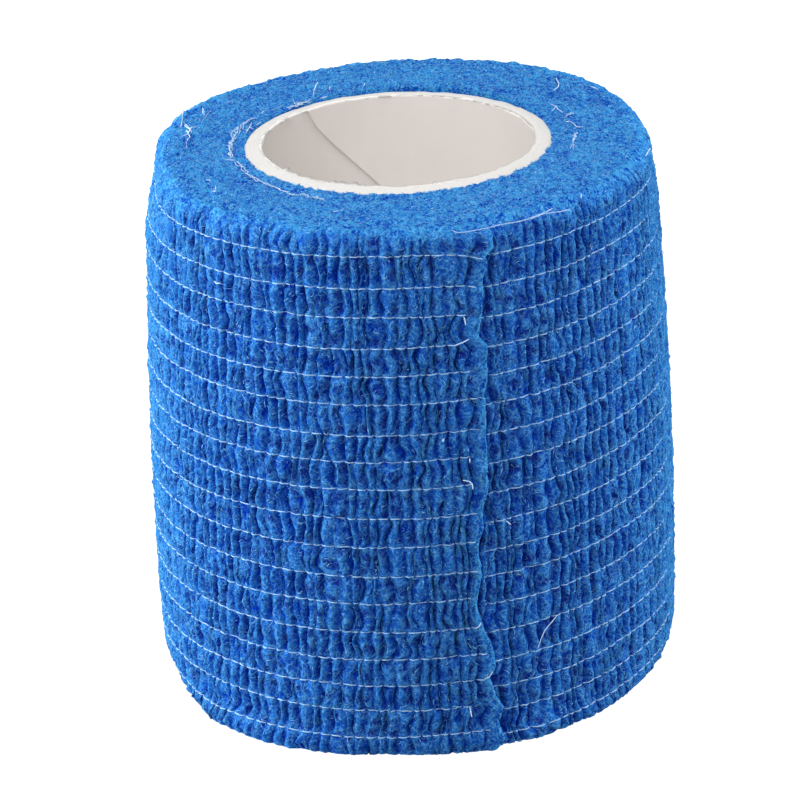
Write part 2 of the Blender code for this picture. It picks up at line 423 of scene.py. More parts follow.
# %% [markdown]
# In each row the cloth sinks at every valley and stands up between two of them. Beside a thread the pleats
# are drawn together, so the relief is low there and the gaps are narrow. In the middle of a band they swell
# to their full height. At the left and at the right of the roll the cloth lies flatter than at the front.

# %% Relief of the pleats
PLEAT_RELIEF = 0.6 * MM
CREST_LEVEL = 0.3 * MM
HOLLOW_FALL = (1.0, 0.3, 0.62, 0.62, 0.3)           # a hollow pleat is sunk along its middle as well
# LOW_SHADE: how much of the valleys' painted shade is left beside a thread
LOW_CREST, LOW_RELIEF, LOW_SHADE = 0.1, 0.27, 0.35  # beside a thread, as shares of those in mid-band
FLATTER_AT, FLATTER_REACH, FLATTER_BY = (-82, -275), 26, 0.55       # the first two in degrees from the front
EDGE_COLUMNS, EDGE_LEVEL = 3, 0.12 * MM             # the lip beside the cut has no valley


def hump(value, middle, reach, power=2):
    """Rises to 1 at a middle value and falls away to both sides, mostly within a reach."""
    return np.exp(-((value - middle) / reach) ** power)


def row_relief(line, share):
    """Height of the cloth along one row, and how deep in a valley each of its points lies, for painted shade.
    """
    swell = math.sin(math.pi * share) ** 0.6
    crests = CREST_LEVEL * ((crest_height[line] - 1) * swell + mixed(LOW_CREST, 1, swell))
    fall = (0.5 + 0.5 * np.cos(FULL_TURN * ACROSS_PLEAT)) ** (2.4 - swell)
    fall = np.where(hollow[line][:, None], HOLLOW_FALL, fall)
    depths = valley_depth[line]
    near = np.where(ACROSS_PLEAT < 0.5, depths[:-1, None], depths[1:, None])
    valley = np.append((near * fall).ravel(), depths[-1])
    relief = np.append(crests.repeat(PLEAT_COLUMNS), crests[-1])
    relief = relief - PLEAT_RELIEF * mixed(LOW_RELIEF, 1, swell) * valley
    return relief, valley * mixed(LOW_SHADE, 1, swell)


relief, valley = (np.array(part) for part in zip(*(row_relief(line, share) for line, share in rows)))
eased = 1 - FLATTER_BY * sum(hump(direction, place, FLATTER_REACH) for place in FLATTER_AT)
relief, valley = relief * eased, valley * eased
relief[:, :EDGE_COLUMNS] = np.maximum(relief[:, :EDGE_COLUMNS], EDGE_LEVEL)
print("pleats stand", round(np.ptp(relief) / MM, 2), "mm from valley to crest")

# %% [markdown]
# Small pits dot the cloth, and in some places it is thin and looks darker. Over the rim each pleat fades
# into the felt at its own height, as a level line would look like a fold.

# %% Pits, thin places and the worn rim
PITS = 1500
# rows up and columns over from the middle of a pit, and the share of its depth there
PIT_SHAPE = ((0, 0, 1.0), (1, 0, 0.45), (-1, 0, 0.45), (0, 1, 0.4), (0, -1, 0.4))
DEEPEST = 0.4 * MM
THIN_ACROSS = (0.0, 0.1, 1.0, 1.0, 0.1)             # the cloth is thin on the crests and not in the valleys
FADE_OVER = 1.9 * MM


def over_pleat(values):
    """Running mean of a row's values over the columns of one pleat."""
    padded = np.pad(values, PLEAT_COLUMNS // 2, mode="edge")
    return np.convolve(padded, np.ones(PLEAT_COLUMNS) / PLEAT_COLUMNS, "valid")


deep = np.zeros_like(relief)
for _ in range(PITS):
    row = chance.integers(4, relief.shape[0] - 8)
    column = chance.integers(1, relief.shape[1] - 2)
    depth = chance.uniform(0.12, 0.34) * MM
    for down, over, part in PIT_SHAPE:
        deep[row + down, column + over] += part * depth
deep = np.minimum(deep, DEEPEST) * eased
thin = spread(mean=0.02, by=0.16, low=0, high=0.5, shape=(len(rows), PLEATS, 1))
thin = 0.6 * thin + 0.4 * np.roll(thin, 1, 0)
thin = np.pad((thin * THIN_ACROSS).reshape(len(rows), -1), ((0, 0), (0, 1))) * eased
fade_from = spread(mean=48.5 * MM, by=0.5 * MM, low=47.7 * MM, high=49.1 * MM, shape=PLEATS)
fade_from = over_pleat(np.append(fade_from.repeat(PLEAT_COLUMNS), fade_from[-1]))
worn = smooth_step(fade_from, fade_from + FADE_OVER, path)
print("deepest pit, mm:", round(deep.max() / MM, 2), "share of the mesh in the felt:", round(worn.mean(), 2))

# %% [markdown]
# At its top corner the cut end puffs up into a small lobe with a dimple, as if the corner had been pinched.
# It takes the place of the pleats there. Fine lumps, everywhere, keep the cloth from looking smooth.

# %% The lobe at the top corner
LOBE_ALONG, LOBE_UP = -0.25 * MM, 48.45 * MM        # along the strip from the cut, and up it
LOBE_RISE = 0.45 * MM
LOBE_INNER, LOBE_OUTER = 0.85 * MM, 1.4 * MM        # whole within the first radius, gone at the second
DIMPLE_DEPTH, DIMPLE_RADIUS = 0.8 * MM, 0.52 * MM
FINE_LUMP = 0.055 * MM
fine_lumps = FINE_LUMP * chance.standard_normal(relief.shape)
from_lobe = np.hypot(along - LOBE_ALONG, path - LOBE_UP)
on_lobe = 1 - smooth_step(LOBE_INNER, LOBE_OUTER, from_lobe)
dimple = hump(from_lobe, 0, DIMPLE_RADIUS)
relief = (relief - deep + fine_lumps) * (1 - worn)
relief = mixed(relief, LOBE_RISE - DIMPLE_DEPTH * dimple + fine_lumps, on_lobe)
print("relief, mm:", round(relief.min() / MM, 2), "to", round(relief.max() / MM, 2))

# %% [markdown]
# The felt of the rim and of the top face is one surface on the real roll, so both pieces take their relief
# from the same lumps in space, and the joint between them can't be seen.

# %% The felted surface
FELT_NUBS = ((0.12, 0.5, 1), (0.14, 0.3, 2), (0.07, 2.2, 5))
# mean paleness of the felt, and the nub height over which its painted shade goes from dark to pale
FELT_SHADE, FELT_STEP = 0.62, 0.32 * MM
BACK_RISE, RIGHT_RISE = 0.6 * MM, 0.022             # the second for each metre towards +X


def felt(points):
    """Nubbly relief of the felted cut faces."""
    return rough(points, FELT_NUBS) * MM


def felt_painted_shade(nubs):
    """The felt's paleness: painted light on its nub tops, painted shade in the gaps between them."""
    return np.clip(FELT_SHADE + nubs / FELT_STEP, 0, 1)


def top_height(points):
    """The top of the winding stands a little higher towards the back, most of all at the right."""
    back = smooth_step(-5 * MM, 24 * MM, points[..., 1])
    return CLOTH_WIDTH + (BACK_RISE + RIGHT_RISE * points[..., 0]) * back


print("the top at the back stands", BACK_RISE / MM, "mm higher than at the front")

# %% [markdown]
# The section of the turn has a rounded foot and a rounded rim. From its rim inwards it lies level, and then
# dips under the wound cloth, so that the two pieces of felt overlap.

# %% Section of the last turn
RIM_ROUNDING = 1.5 * MM
FOOT_ROUNDING, FOOT_TUCK = 1.3 * MM, 0.6 * MM
LEVEL_PAST_RIM, DIP_SLOPE = 0.3 * MM, 0.6
rim_start = CLOTH_WIDTH - RIM_ROUNDING
rim_angle = np.clip((path - rim_start) / RIM_ROUNDING, 0, math.pi / 2)
past_rim = np.maximum(path - rim_start - RIM_ROUNDING * math.pi / 2, 0)
inward = RIM_ROUNDING * (1 - np.cos(rim_angle)) + past_rim
inward += FOOT_TUCK * np.clip(1 - path / FOOT_ROUNDING, 0, 1) ** 2
height = np.minimum(path, rim_start) + RIM_ROUNDING * np.sin(rim_angle)
height -= DIP_SLOPE * np.maximum(past_rim - LEVEL_PAST_RIM, 0)
print("the felted strip reaches", round(inward.max() / MM, 1), "mm in over the top")

# %% [markdown]
# A soft roll is never quite round. The front bulges towards its foot, the foot flares here and there where it
# was set down, and the shoulders at the left and the right are pressed in or stand out.

# %% Out of round
FRONT_BULGE, BULGE_HEIGHT = 0.35 * MM, 14 * MM
# degrees from the front, and how far the foot flares there in millimetres
FOOT_FLARE = np.array((
    (-360, 0.6), (-345, 1.3), (-334, 1.35), (-320, 0.8), (-300, 0), (-283, -0.4), (-260, -0.2), (-100, -0.2),
    (-75, -0.4), (-62, 0.3), (-50, 1.6), (-36, 1.6), (-22, 1.4), (-8, 0.5), (0, 0.6), (8, 0.6), (16, 0.9),
))
FLARE_HEIGHT = 3 * MM
# how far in, in millimetres, and where and how wide, in degrees
SHOULDERS = ((1.1, -87, 17), (-0.6, -126, 18), (0.55, -263, 20))
SCALLOP, SCALLOP_PITCH, SCALLOP_HEIGHT = 0.3 * MM, 1.9 * MM, 1.6 * MM
front = np.clip(np.cos(CUT_DIRECTION - turn), 0, 1) ** 2
inward -= FRONT_BULGE * front * (1 - smooth_step(0, BULGE_HEIGHT, path))
flare = MM * np.interp(direction, FOOT_FLARE[:, 0], FOOT_FLARE[:, 1])
inward -= flare * (1 - smooth_step(0, FLARE_HEIGHT, path))
pressed = MM * sum(by * hump(direction, place, reach) for by, place, reach in SHOULDERS)
inward += pressed * smooth_step(43 * MM, 49 * MM, path)
scallop = 0.5 + 0.5 * lumps(wound(ROLL_RADIUS, turn, 0.0), SCALLOP_PITCH, 14)
height += SCALLOP * scallop * (1 - smooth_step(0, SCALLOP_HEIGHT, path))
print("foot flares by", FOOT_FLARE[:, 1].min(), "to", FOOT_FLARE[:, 1].max(), "mm")

# %% [markdown]
# Where the strip has gone once round it rises a little, and then runs on under its own cut end. The cut end
# stands about a millimetre proud of the turn below it, as a puffy lip that curls down at its ragged edge.

# %% Points of the last turn
ROOT_RISE, ROOT_TUCK = 0.2 * MM, 0.6 * MM
NUBS_ON_PLEATS = 0.35               # share of the felt's nubs that the pleated cloth has too
LIP_CURL = ((0.95, 0.16), (0.45, 0.24), (0.14, 0.13))   # millimetres down and out, from the bottom up
raised = ROOT_RISE * smooth_step(FULL_TURN - 0.5, FULL_TURN - 0.05, turn)
mean = winding_radius(turn, height) - inward + raised
flat_points = wound(mean, turn, height)
worn_lumps = felt(flat_points) * mixed(NUBS_ON_PLEATS, 1, worn)
lift = relief + worn_lumps
height += (top_height(flat_points) - CLOTH_WIDTH) * smooth_step(30 * MM, 50 * MM, path)
height -= ROOT_TUCK * worn * smooth_step(FULL_TURN, FULL_TURN + ROOT_OVERLAP, turn)
radius = mean + lift * np.cos(rim_angle)
points = wound(radius, turn, np.maximum(height + lift * np.sin(rim_angle), 0.0))
lip = [
    wound(
        radius[:, 0] - down * MM,
        turn[:, 0] - out * MM / STRIP_RADIUS,
        points[:, 0, 2] - down * MM * np.sin(rim_angle[:, 0]),
    )
    for down, out in LIP_CURL
]
points = np.concatenate([np.stack(lip, 1), points], 1)
last_turn = grid_piece("last_turn", points, flip=True)

# %% [markdown]
# Two marks go with the mesh. "pleat" says how pale each point is, and it is mostly painted light and
# shade: valleys, pits and the dimple get painted shade, the tops of lumps and the lip beside the cut end
# get painted highlights, and the cloth right beside the cut end gets a painted shadow. Thin places are
# darker in tone. "pleat_run" counts pleats along the strip and bands across it, and says how much of the
# pleats is left, so that the finish can draw finer creases in step with the mesh.

# %% Marks on the last turn
# painted shade on the curled lip, darkest at its underside
LIP_PAINTED_SHADES = (0.0, 0.35, 0.8)
LUMP_SHADE = 0.3 * MM               # a lump or pit of this size changes the shade from dark to pale
# painted shade in valleys and pits, painted light on the tops of lumps; thin places are darker in tone
shade = np.clip(0.95 - 0.75 * valley - deep / LUMP_SHADE + fine_lumps / LUMP_SHADE - thin, 0, 1)
# painted highlight along the lip beside the cut end
shade = np.clip(shade + 0.15 * (1 - smooth_step(0.3 * MM, 0.9 * MM, from_edge)), 0, 1)
# painted shade in the dimple of the lobe
shade = mixed(shade, 1.0 - 1.1 * dimple, on_lobe)
# painted shadow of the cut end on the cloth just before it
before_lip = (FULL_TURN - turn) * STRIP_RADIUS - cut_lead(path[:, -1:])
shade *= 0.15 + 0.85 * smooth_step(0.1 * MM, 0.9 * MM, before_lip)
# the worn rim takes the felt's painted light and shade
shade = mixed(shade, felt_painted_shade(worn_lumps), worn)
lip_shade = np.broadcast_to(LIP_PAINTED_SHADES, (len(rows), len(LIP_CURL)))
mark(last_turn, "pleat", np.concatenate([lip_shade, shade], 1))
pleat_count = np.append((np.arange(PLEATS)[:, None] + ACROSS_PLEAT).ravel(), PLEATS)
band_count = np.array([[line + share] for line, share in rows])
left_of_pleats = (1 - worn) * eased * smooth_step(0.0, 0.5 * MM, from_edge)
run = np.stack(np.broadcast_arrays(pleat_count, band_count, left_of_pleats), -1)
lip_run = np.broadcast_to((0.5, 0.5, 0.0), (len(rows), len(LIP_CURL), 3))
mark(last_turn, "pleat_run", np.concatenate([lip_run, run], 1), "FLOAT_VECTOR", "vector")
print("mean shade:", round(shade.mean(), 2))

# %% [markdown]
# ## The wound cloth
# The inner turns show only as the top face, a ring of felt from the tube out to the last turn. On the real
# roll the turns grip each other so well that no spiral shows. It is a closed ring of cloth: the fine grid
# lies on top, where it is seen, and the foot and the sides take a few rows.

# %% Build the wound cloth
FACE_COLUMNS = 860
FACE_ROWS = 66
FLUFF_OVER = 0.12 * MM              # the felt creeps this far over the tube's outer edge
MORE_FLUFF = 0.2 * MM               # and this much farther on one side
FLUFF_SIDE = math.pi / 2 - 0.9      # that side's direction, measured from the front towards +X
INNER_LUMP, INNER_PITCH = 0.05 * MM, 0.7 * MM
FACE_RISE = 0.2 * MM                # the face rises this much from its outer edge to the tube
OUTER_ROLL, INNER_ROLL = 0.35 * MM, 0.12 * MM       # and rolls down this much at its two edges
UNDER_FLUFF = TUBE_RADIUS + 0.06 * MM
# millimetres below the top, and share of the way in, of the rows round the sides and the foot
BELOW_FACE = ((2.0, 1.0), (49.0, 1.0), (49.98, 0.97), (49.98, 0.02), (49.0, 0.0), (2.0, 0.0))
# painted shade on the unseen rows under the face
UNSEEN_PAINTED_SHADE = 0.3


def towards_tube(points, share):
    """Points of the winding moved aside as they near the tube, which isn't on the winding's axis."""
    points[..., 0] += TUBE_ASIDE * share ** 1.5
    return points


face_turn = np.linspace(0, FULL_TURN, FACE_COLUMNS, endpoint=False)
edge = winding_radius(face_turn, CLOTH_WIDTH) - SPIRAL_STEP
edge -= SPIRAL_STEP * (1 - smooth_step(-0.03, 0.03, face_turn))
share = np.linspace(0, 1, FACE_ROWS)[:, None]
on_side = np.clip(np.cos(CUT_DIRECTION - face_turn - FLUFF_SIDE), 0, 1)
inner_edge = TUBE_RADIUS - FLUFF_OVER - MORE_FLUFF * on_side
inner_edge = inner_edge + INNER_LUMP * lumps(wound(TUBE_RADIUS, face_turn, 0.0), INNER_PITCH, 11)
face_points = towards_tube(wound(mixed(edge, inner_edge, share), face_turn, CLOTH_WIDTH), share)
nubs = felt(face_points)
rolled = OUTER_ROLL * (1 - smooth_step(0.0, 0.05, share)) + INNER_ROLL * smooth_step(0.96, 1.0, share)
face_points[..., 2] = top_height(face_points) + FACE_RISE * share + nubs - rolled
below = []
for depth, part in BELOW_FACE:
    radius = mixed(edge, UNDER_FLUFF, part)
    below.append(towards_tube(wound(radius, face_turn, CLOTH_WIDTH - depth * MM), part))
face_grid = np.concatenate([face_points, np.stack(below)], 0)
wound_cloth = grid_piece("wound_cloth", face_grid, around=True, across=True, flip=True)
# the face carries the felt's painted light and shade, the rows below it a flat painted shade
below_shade = np.full((len(below), FACE_COLUMNS), UNSEEN_PAINTED_SHADE)
mark(wound_cloth, "pleat", np.concatenate([felt_painted_shade(nubs), below_shade]))

# %% [markdown]
# ## The elastic threads
# Each thread lies lengthwise in the cloth and pulls it into pleats. It shows as pale dashes over the crests
# and sinks from sight in the valleys. A thread is built as a thin round tube through the mesh points of its
# own line, so it follows every crest, and all of them are one piece. A curve object with a bevel would do
# for a few threads, but thousands of fibres are made the same way later, and one mesh is far lighter.

# %% Strands
def strand_mesh(name, paths, widths, sides=4, tip=0.4, lit=None):
    """One mesh of thin round strands, each along its own line of points, and how pale each point is."""
    widths = np.broadcast_to(widths, len(paths))
    spin = np.linspace(0, FULL_TURN, sides, endpoint=False)
    points, faces, count = [], [], 0
    for path, width in zip(paths, widths):
        path = np.asarray(path)
        along = np.gradient(path, axis=0)
        along /= np.linalg.norm(along, axis=1, keepdims=True) + 1e-12
        out = path - np.array([AXIS_X, AXIS_Y, CLOTH_WIDTH / 2])
        side = np.cross(along, out)
        side /= np.linalg.norm(side, axis=1, keepdims=True) + 1e-12
        up = np.cross(side, along)
        thick = np.full(len(path), width / 2)
        thick[[0, -1]] *= tip
        ring = np.cos(spin)[:, None] * side[:, None] + np.sin(spin)[:, None] * up[:, None]
        points.append((path[:, None] + thick[:, None, None] * ring).reshape(-1, 3))
        start = count + sides * np.arange(len(path) - 1)[:, None]
        first, second = start + np.arange(sides), start + (np.arange(sides) + 1) % sides
        faces += np.stack([first, first + sides, second + sides, second], -1).reshape(-1, 4).tolist()
        end = count + sides * len(path)
        faces += [list(range(count, count + sides)), list(range(end - sides, end))[::-1]]
        count = end
    mesh = bpy.data.meshes.new(name)
    mesh.from_pydata(np.concatenate(points).tolist(), [], faces)
    mesh.shade_smooth()
    piece = bpy.data.objects.new(name, mesh)
    bpy.context.scene.collection.objects.link(piece)
    triangles = sum(len(face) - 2 for face in faces)
    print(name, "has", len(paths), "strands and", triangles, "triangles")
    if lit is not None:
        mark(piece, "pale", np.repeat(np.concatenate(lit), sides))
    return piece


# %% [markdown]
# A thread follows the cloth only in part, as it is stiffer: its line is a blend of the cloth's own line and
# the same line evened out over one pleat. Near the cut end each thread begins where the real one breaks off.

# %% Lay the threads
THREAD_WIDTH = 0.12 * MM
# where each thread begins, in millimetres from the cut, from the foot up
THREAD_ENDS = (0.5, 2.2, 0.1, 0.75, 0.6, 0.45, 0.0, 0.1, 0.35, 1.2, 1.0, 0.5, 0.3, 0.86, 2.1, 0.86, 0.3, 0.0)
THREAD_STIFFNESS = 0.55
RISE_ACROSS = [-0.11, 0.02, 0.06, 0.06, 0.02]       # out of the cloth, millimetres, over one pleat's columns
# paleness across a pleat's columns: painted shade where the thread dips into the valley
PAINTED_LIGHT_ACROSS = [0.15, 0.75, 0.95, 1.0, 0.8]
SHOWN_SHARE, SHOWN_RISE = 0.2, 0.02 * MM            # in some valleys the thread shows
BURIED_AT, BURIED_REACH = -274, 13                  # degrees from the front: at the right the felt hides it
BURIED_SWAY, BURIED_STEP = 4, 2.3                   # but each thread at a place of its own
BURIED_BY, BURIED_PALER = 0.1 * MM, 0.6             # how far down, and how much of its paleness is lost
THREAD_JITTER, PALE_VARIES = 0.012 * MM, (0.75, 1.0)
COLUMNS_UNSEEN = 8                                  # it stops this many columns short, under the cut end
thread_paths, thread_lit = [], []
normals_in = np.stack([-np.sin(CUT_DIRECTION - turn), np.cos(CUT_DIRECTION - turn), turn * 0], -1)
for number in range(1, LINES - 1):
    row = rows.index((number, 0.0))
    cloth_line = points[row, len(LIP_CURL):]
    even_line = np.stack([over_pleat(cloth_line[:, axis]) for axis in range(3)], -1)
    line = mixed(cloth_line, even_line, THREAD_STIFFNESS)
    column = np.arange(len(line)) % PLEAT_COLUMNS
    shown = chance.random(len(line)) < SHOWN_SHARE
    rise = np.where((column == 0) & shown, SHOWN_RISE, np.choose(column, RISE_ACROSS) * MM)
    place = BURIED_AT - BURIED_SWAY * math.sin(BURIED_STEP * number)
    buried = hump(direction[row], place, BURIED_REACH, power=4)
    line = line - normals_in[row] * (rise - BURIED_BY * buried)[:, None]
    line[:, 2] += THREAD_JITTER * chance.standard_normal(len(line))
    pale = np.choose(column, PAINTED_LIGHT_ACROSS) * chance.uniform(*PALE_VARIES, len(line))
    pale = pale * (1 - BURIED_PALER * buried)
    if number <= len(THREAD_ENDS):
        begins = np.searchsorted(from_edge[row], THREAD_ENDS[number - 1] * MM)
        thread_paths.append(line[begins:-COLUMNS_UNSEEN])
        thread_lit.append(pale[begins:-COLUMNS_UNSEEN])
elastic_threads = strand_mesh("elastic_threads", thread_paths, THREAD_WIDTH, lit=thread_lit)

# %% [markdown]
# ## Loose threads
# Where the roll was cut from a longer one, the cut threads left short ends and tangles on the top face and
# beside the tube. Each is laid from a few given points, its corners, which say how far it lies from the
# winding's axis and how high over the face.

# %% Corners of the loose threads
# every corner in millimetres: towards +X, towards the back, over the face
TANGLES = (
    ((-15.7, -3.05, 0.18), (-15.9, -0.85, 0.23), (-15.8, 1.25, 0.18), (-15.6, 3.35, 0.23),
     (-15.2, 5.25, 0.18)),
    ((-15.6, -3.05, 0.18), (-15.7, -0.95, 0.18), (-15.5, 1.25, 0.23), (-15.3, 3.35, 0.18),
     (-15.1, 4.95, 0.18)),
    ((-15.0, 4.15, 0.18), (-14.6, 5.95, 0.23), (-14.2, 6.95, 0.18), (-13.8, 7.45, 0.18)),
    ((-15.2, -4.15, 0.18), (-14.3, -7.25, 0.18), (-13.3, -9.05, 0.18), (-12.3, -10.35, 0.18),
     (-10.8, -12.45, 0.18), (-9.7, -13.35, 0.18), (-7.1, -15.15, 0.18)),
    ((-10.5, 9.45, 0.23), (-9.9, 10.25, 0.18), (-9.1, 10.85, 0.23), (-8.3, 11.35, 0.18)),
    ((-10.1, 10.95, 0.18), (-9.8, 10.35, 0.23), (-9.2, 10.35, 0.18)),
    ((14.9, 3.9, 0.18), (15.3, 4.3, 0.28), (15.6, 4.0, 0.18), (15.7, 4.8, 0.18)),
    ((15.6, -0.3, 0.18), (15.65, -1.7, 0.28), (15.5, -2.9, 0.18), (15.2, -4.5, 0.18)),
)
HAIRS = (
    ((-20.45, 5.9, 0.1), (-20.3, 5.95, 0.9), (-20.15, 6.0, 1.9)),
    ((-18.4, 8.8, 0.1), (-18.45, 8.85, 0.5), (-18.5, 8.9, 0.9)),
    ((-18.3, 8.75, 0.1), (-18.45, 8.85, 0.8)),
    ((-20.1, 6.35, 0.28), (-19.6, 4.75, 0.43), (-19.0, 5.45, 0.28)),
    ((-20.2, 5.95, 0.28), (-19.7, 4.65, 0.48), (-19.4, 3.95, 0.28)),
    ((-20.0, 4.55, 0.23), (-19.6, 3.95, 0.38), (-19.4, 5.05, 0.48)),
    ((-20.3, 3.35, 0.18), (-19.8, 3.45, 0.28), (-19.6, 4.45, 0.38)),
    ((-19.9, 4.55, 0.38), (-19.6, 2.85, 0.23), (-19.8, 2.05, 0.18)),
    ((-17.9, -8.55, 0.18), (-17.4, -8.85, 0.18)),
    ((-17.2, -11.65, 0.18), (-16.8, -11.95, 0.28)),
    ((-16.9, -10.85, 0.38), (-16.9, -11.95, 0.18)),
    ((-16.2, -3.75, 0.23), (-15.6, -3.95, 0.28), (-15.2, -3.95, 0.23)),
    ((-14.5, 3.35, 0.18), (-14.1, 4.55, 0.38), (-13.9, 5.05, 0.58)),
    ((-14.4, 3.75, 0.28), (-14.0, 4.45, 0.38), (-13.7, 4.15, 0.28)),
    ((-13.5, 5.35, 0.23), (-13.0, 5.95, 0.28)),
    ((-8.2, 12.3, 0.1), (-8.1, 12.35, 0.75), (-7.9, 12.4, 1.3), (-7.7, 12.4, 1.55)),
    ((-7.6, 11.45, 0.28), (-6.9, 11.85, 0.28)),
    ((-6.6, 13.6, 0.1), (-6.7, 13.6, 0.5), (-6.5, 13.6, 0.7)),
    ((-3.5, 14.25, 0.18), (-3.3, 14.65, 0.38)),
    ((-13.1, 8.45, 0.18), (-12.8, 8.65, 0.38)),
    ((14.1, 10.5, 0.18), (14.7, 11.1, 0.28), (14.75, 12.5, 0.18), (14.6, 13.4, 0.28)),
    ((13.7, 7.2, 0.18), (14.2, 6.4, 0.23), (14.6, 5.3, 0.23), (14.8, 4.8, 0.18)),
    ((13.9, 5.4, 0.18), (14.3, 6.4, 0.28)),
    ((14.9, 2.5, 0.18), (15.5, 2.2, 0.28), (15.85, 1.2, 0.18), (16.4, 0.8, 0.28)),
    ((21.6, -7.6, 0.28), (21.9, -6.7, 0.33), (22.2, -5.7, 0.38)),
    ((17.7, 10.9, 0.18), (17.9, 10.3, 0.38), (18.3, 10.0, 0.28)),
    ((-6.5, -18.25, 0.18), (-5.9, -18.25, 0.23)),
    ((15.3, -17.5, 0.18), (15.4, -17.3, 0.58)),
)
FAINT_HAIRS = (
    ((-18.7, 6.9, 0.1), (-18.2, 8.5, 0.15), (-17.8, 10.3, 0.1)),
    ((-19.8, 2.1, 0.15), (-19.8, -0.1, 0.1)),
    ((-17.4, 0.7, 0.15), (-17.0, 0.5, 0.15)),
    ((-16.5, 11.8, 0.1), (-15.6, 12.8, 0.15)),
    ((-12.4, 9.2, 0.15), (-11.7, 9.6, 0.2), (-11.1, 10.4, 0.15)),
    ((-0.7, 14.9, 0.15), (0.0, 15.4, 0.15)),
)
RIM_THREADS = (
    ((3.8, -23.1, -0.2), (4.2, -23.3, -0.35), (4.8, -23.3, -0.4), (5.8, -23.0, -0.38),
     (7.0, -22.6, -0.34), (8.0, -22.1, -0.25), (9.8, -21.4, -0.29), (10.7, -20.9, -0.24),
     (12.1, -19.8, -0.12), (12.8, -19.1, -0.08)),
    ((10.7, -21.0, -0.3), (12.0, -20.0, -0.18), (13.4, -19.4, -0.28), (14.3, -18.8, -0.33)),
)
print("tangles:", len(TANGLES), "hairs:", len(HAIRS) + len(FAINT_HAIRS), "along the rim:", len(RIM_THREADS))

# %% [markdown]
# A smooth curve through a few corners would read as wire. So every thread gets a point about each fifth of
# a millimetre, and is moved there by small lumps, which bend it into kinks.

# %% Loose threads on the top
KINKS = ((1.0, 0.9, 0), (0.8, 0.35, 3))
KINK_STEP = 0.2 * MM
KINK_UPWARDS = 0.5                  # a thread bends less up and down than sideways
OVER_FACE = 0.12 * MM


def kinked(corners, seed, kink):
    """A thread through a few corners, with small kinks."""
    corners = np.array(corners) * MM
    reach = np.concatenate([[0], np.cumsum(np.linalg.norm(np.diff(corners, axis=0), axis=1))])
    steps = np.linspace(0, reach[-1], max(4, int(reach[-1] / KINK_STEP)))
    line = np.stack([np.interp(steps, reach, corners[:, axis]) for axis in range(3)], -1)
    bend = np.stack([rough(line, KINKS, seed + axis) for axis in range(3)], -1)
    line += kink * bend * (1.0, 1.0, KINK_UPWARDS)
    line[:, :2] += (AXIS_X, AXIS_Y)
    line[:, 2] += top_height(line) + OVER_FACE
    return line


loose_paths, loose_widths, loose_lit = [], [], []
# each kind of loose thread: its corners, strands in each, kink and width in millimetres, and paleness
LOOSE_KINDS = (
    (TANGLES, 2, 0.28, 0.08, 1.0),
    (HAIRS, 1, 0.06, 0.085, 1.1),
    (FAINT_HAIRS, 1, 0.1, 0.07, 0.5),
    (RIM_THREADS, 1, 0.05, 0.09, 0.7),
)
for paths, strands, kink, width, pale in LOOSE_KINDS:
    for number, corners in enumerate(paths):
        for strand in range(strands):
            loose_paths.append(kinked(corners, 20 + number + 31 * strand, kink * MM))
            loose_widths.append(width * MM)
            loose_lit.append(pale * chance.uniform(0.7, 1.15, len(loose_paths[-1])))
print("strands on the top:", len(loose_paths))

# %% [markdown]
# On the side, the tails of the cut threads stand off the ragged edge, and a few stray bits lie on the cloth.
# Their corners are given on the winding itself, by direction, height and lift.

# %% Loose threads on the side
# every corner: degrees from the front towards +X, height and lift in millimetres
SIDE_BITS = (
    ((10.7, 42.2, 0.1), (10.8, 41.9, 0.3), (10.9, 41.5, 0.35)),
    ((8.6, 39.6, 0.05), (9.2, 39.7, 0.1), (10.4, 39.9, 0.2), (11.5, 40.2, 0.35)),
    ((9.0, 27.0, 0.15), (10.2, 26.9, 0.3)),
    ((10.2, 26.9, 0.2), (10.8, 26.6, 0.3), (10.9, 26.1, 0.35)),
    ((10.6, 29.0, 0.15), (10.5, 28.7, 0.35)),
    ((8.7, 4.7, 0.1), (8.8, 4.3, 0.3), (9.0, 3.8, 0.35)),
    ((10.3, 12.5, 0.1), (11.1, 12.7, 0.2), (11.5, 13.1, 0.3)),
    ((11.9, 7.4, 0.1), (12.9, 7.6, 0.25), (13.6, 8.1, 0.35)),
    ((11.5, 9.85, 0.1), (12.5, 9.95, 0.3)),
    ((18.4, 22.1, -0.9), (19.0, 21.9, -0.75), (18.6, 22.0, -0.7), (19.4, 21.7, -0.8)),
    ((24.7, 9.0, -0.8), (25.3, 9.8, -0.72), (26.3, 10.7, -0.68), (29.4, 11.85, -0.65)),
    ((5.1, 30.9, 0.1), (5.5, 31.1, 0.2), (5.3, 30.8, 0.15)),
    ((-44.5, 44.0, 0.2), (-43.6, 43.9, 0.35), (-42.6, 44.0, 0.3)),
)
SIDE_LIFT = 0.25
SIDE_WIDTH = 0.1 * MM
POINTS_A_CORNER = 3
for corners in SIDE_BITS:
    degrees, high, lift_off = np.array(corners).T
    radius = winding_radius(0, high * MM) + (SIDE_LIFT + lift_off) * MM
    line = wound(radius, CUT_DIRECTION - np.radians(degrees), high * MM)
    reach = np.linspace(0, len(line) - 1, POINTS_A_CORNER * len(line))
    line = np.stack([np.interp(reach, np.arange(len(line)), line[:, axis]) for axis in range(3)], -1)
    loose_paths.append(line)
    loose_widths.append(SIDE_WIDTH)
    loose_lit.append(np.ones(len(line)))
loose_threads = strand_mesh("loose_threads", loose_paths, loose_widths, lit=loose_lit)

# %% [markdown]
# ## Fine fibres
# The cloth is a web of fibres far finer than a thread, and the light catches those that stand proud. A
# bump can't break up an outline or cross a valley, so some thousands of short strands lie on the cloth's
# own mesh, each running a millimetre or so from point to point of it and arching a little off it.

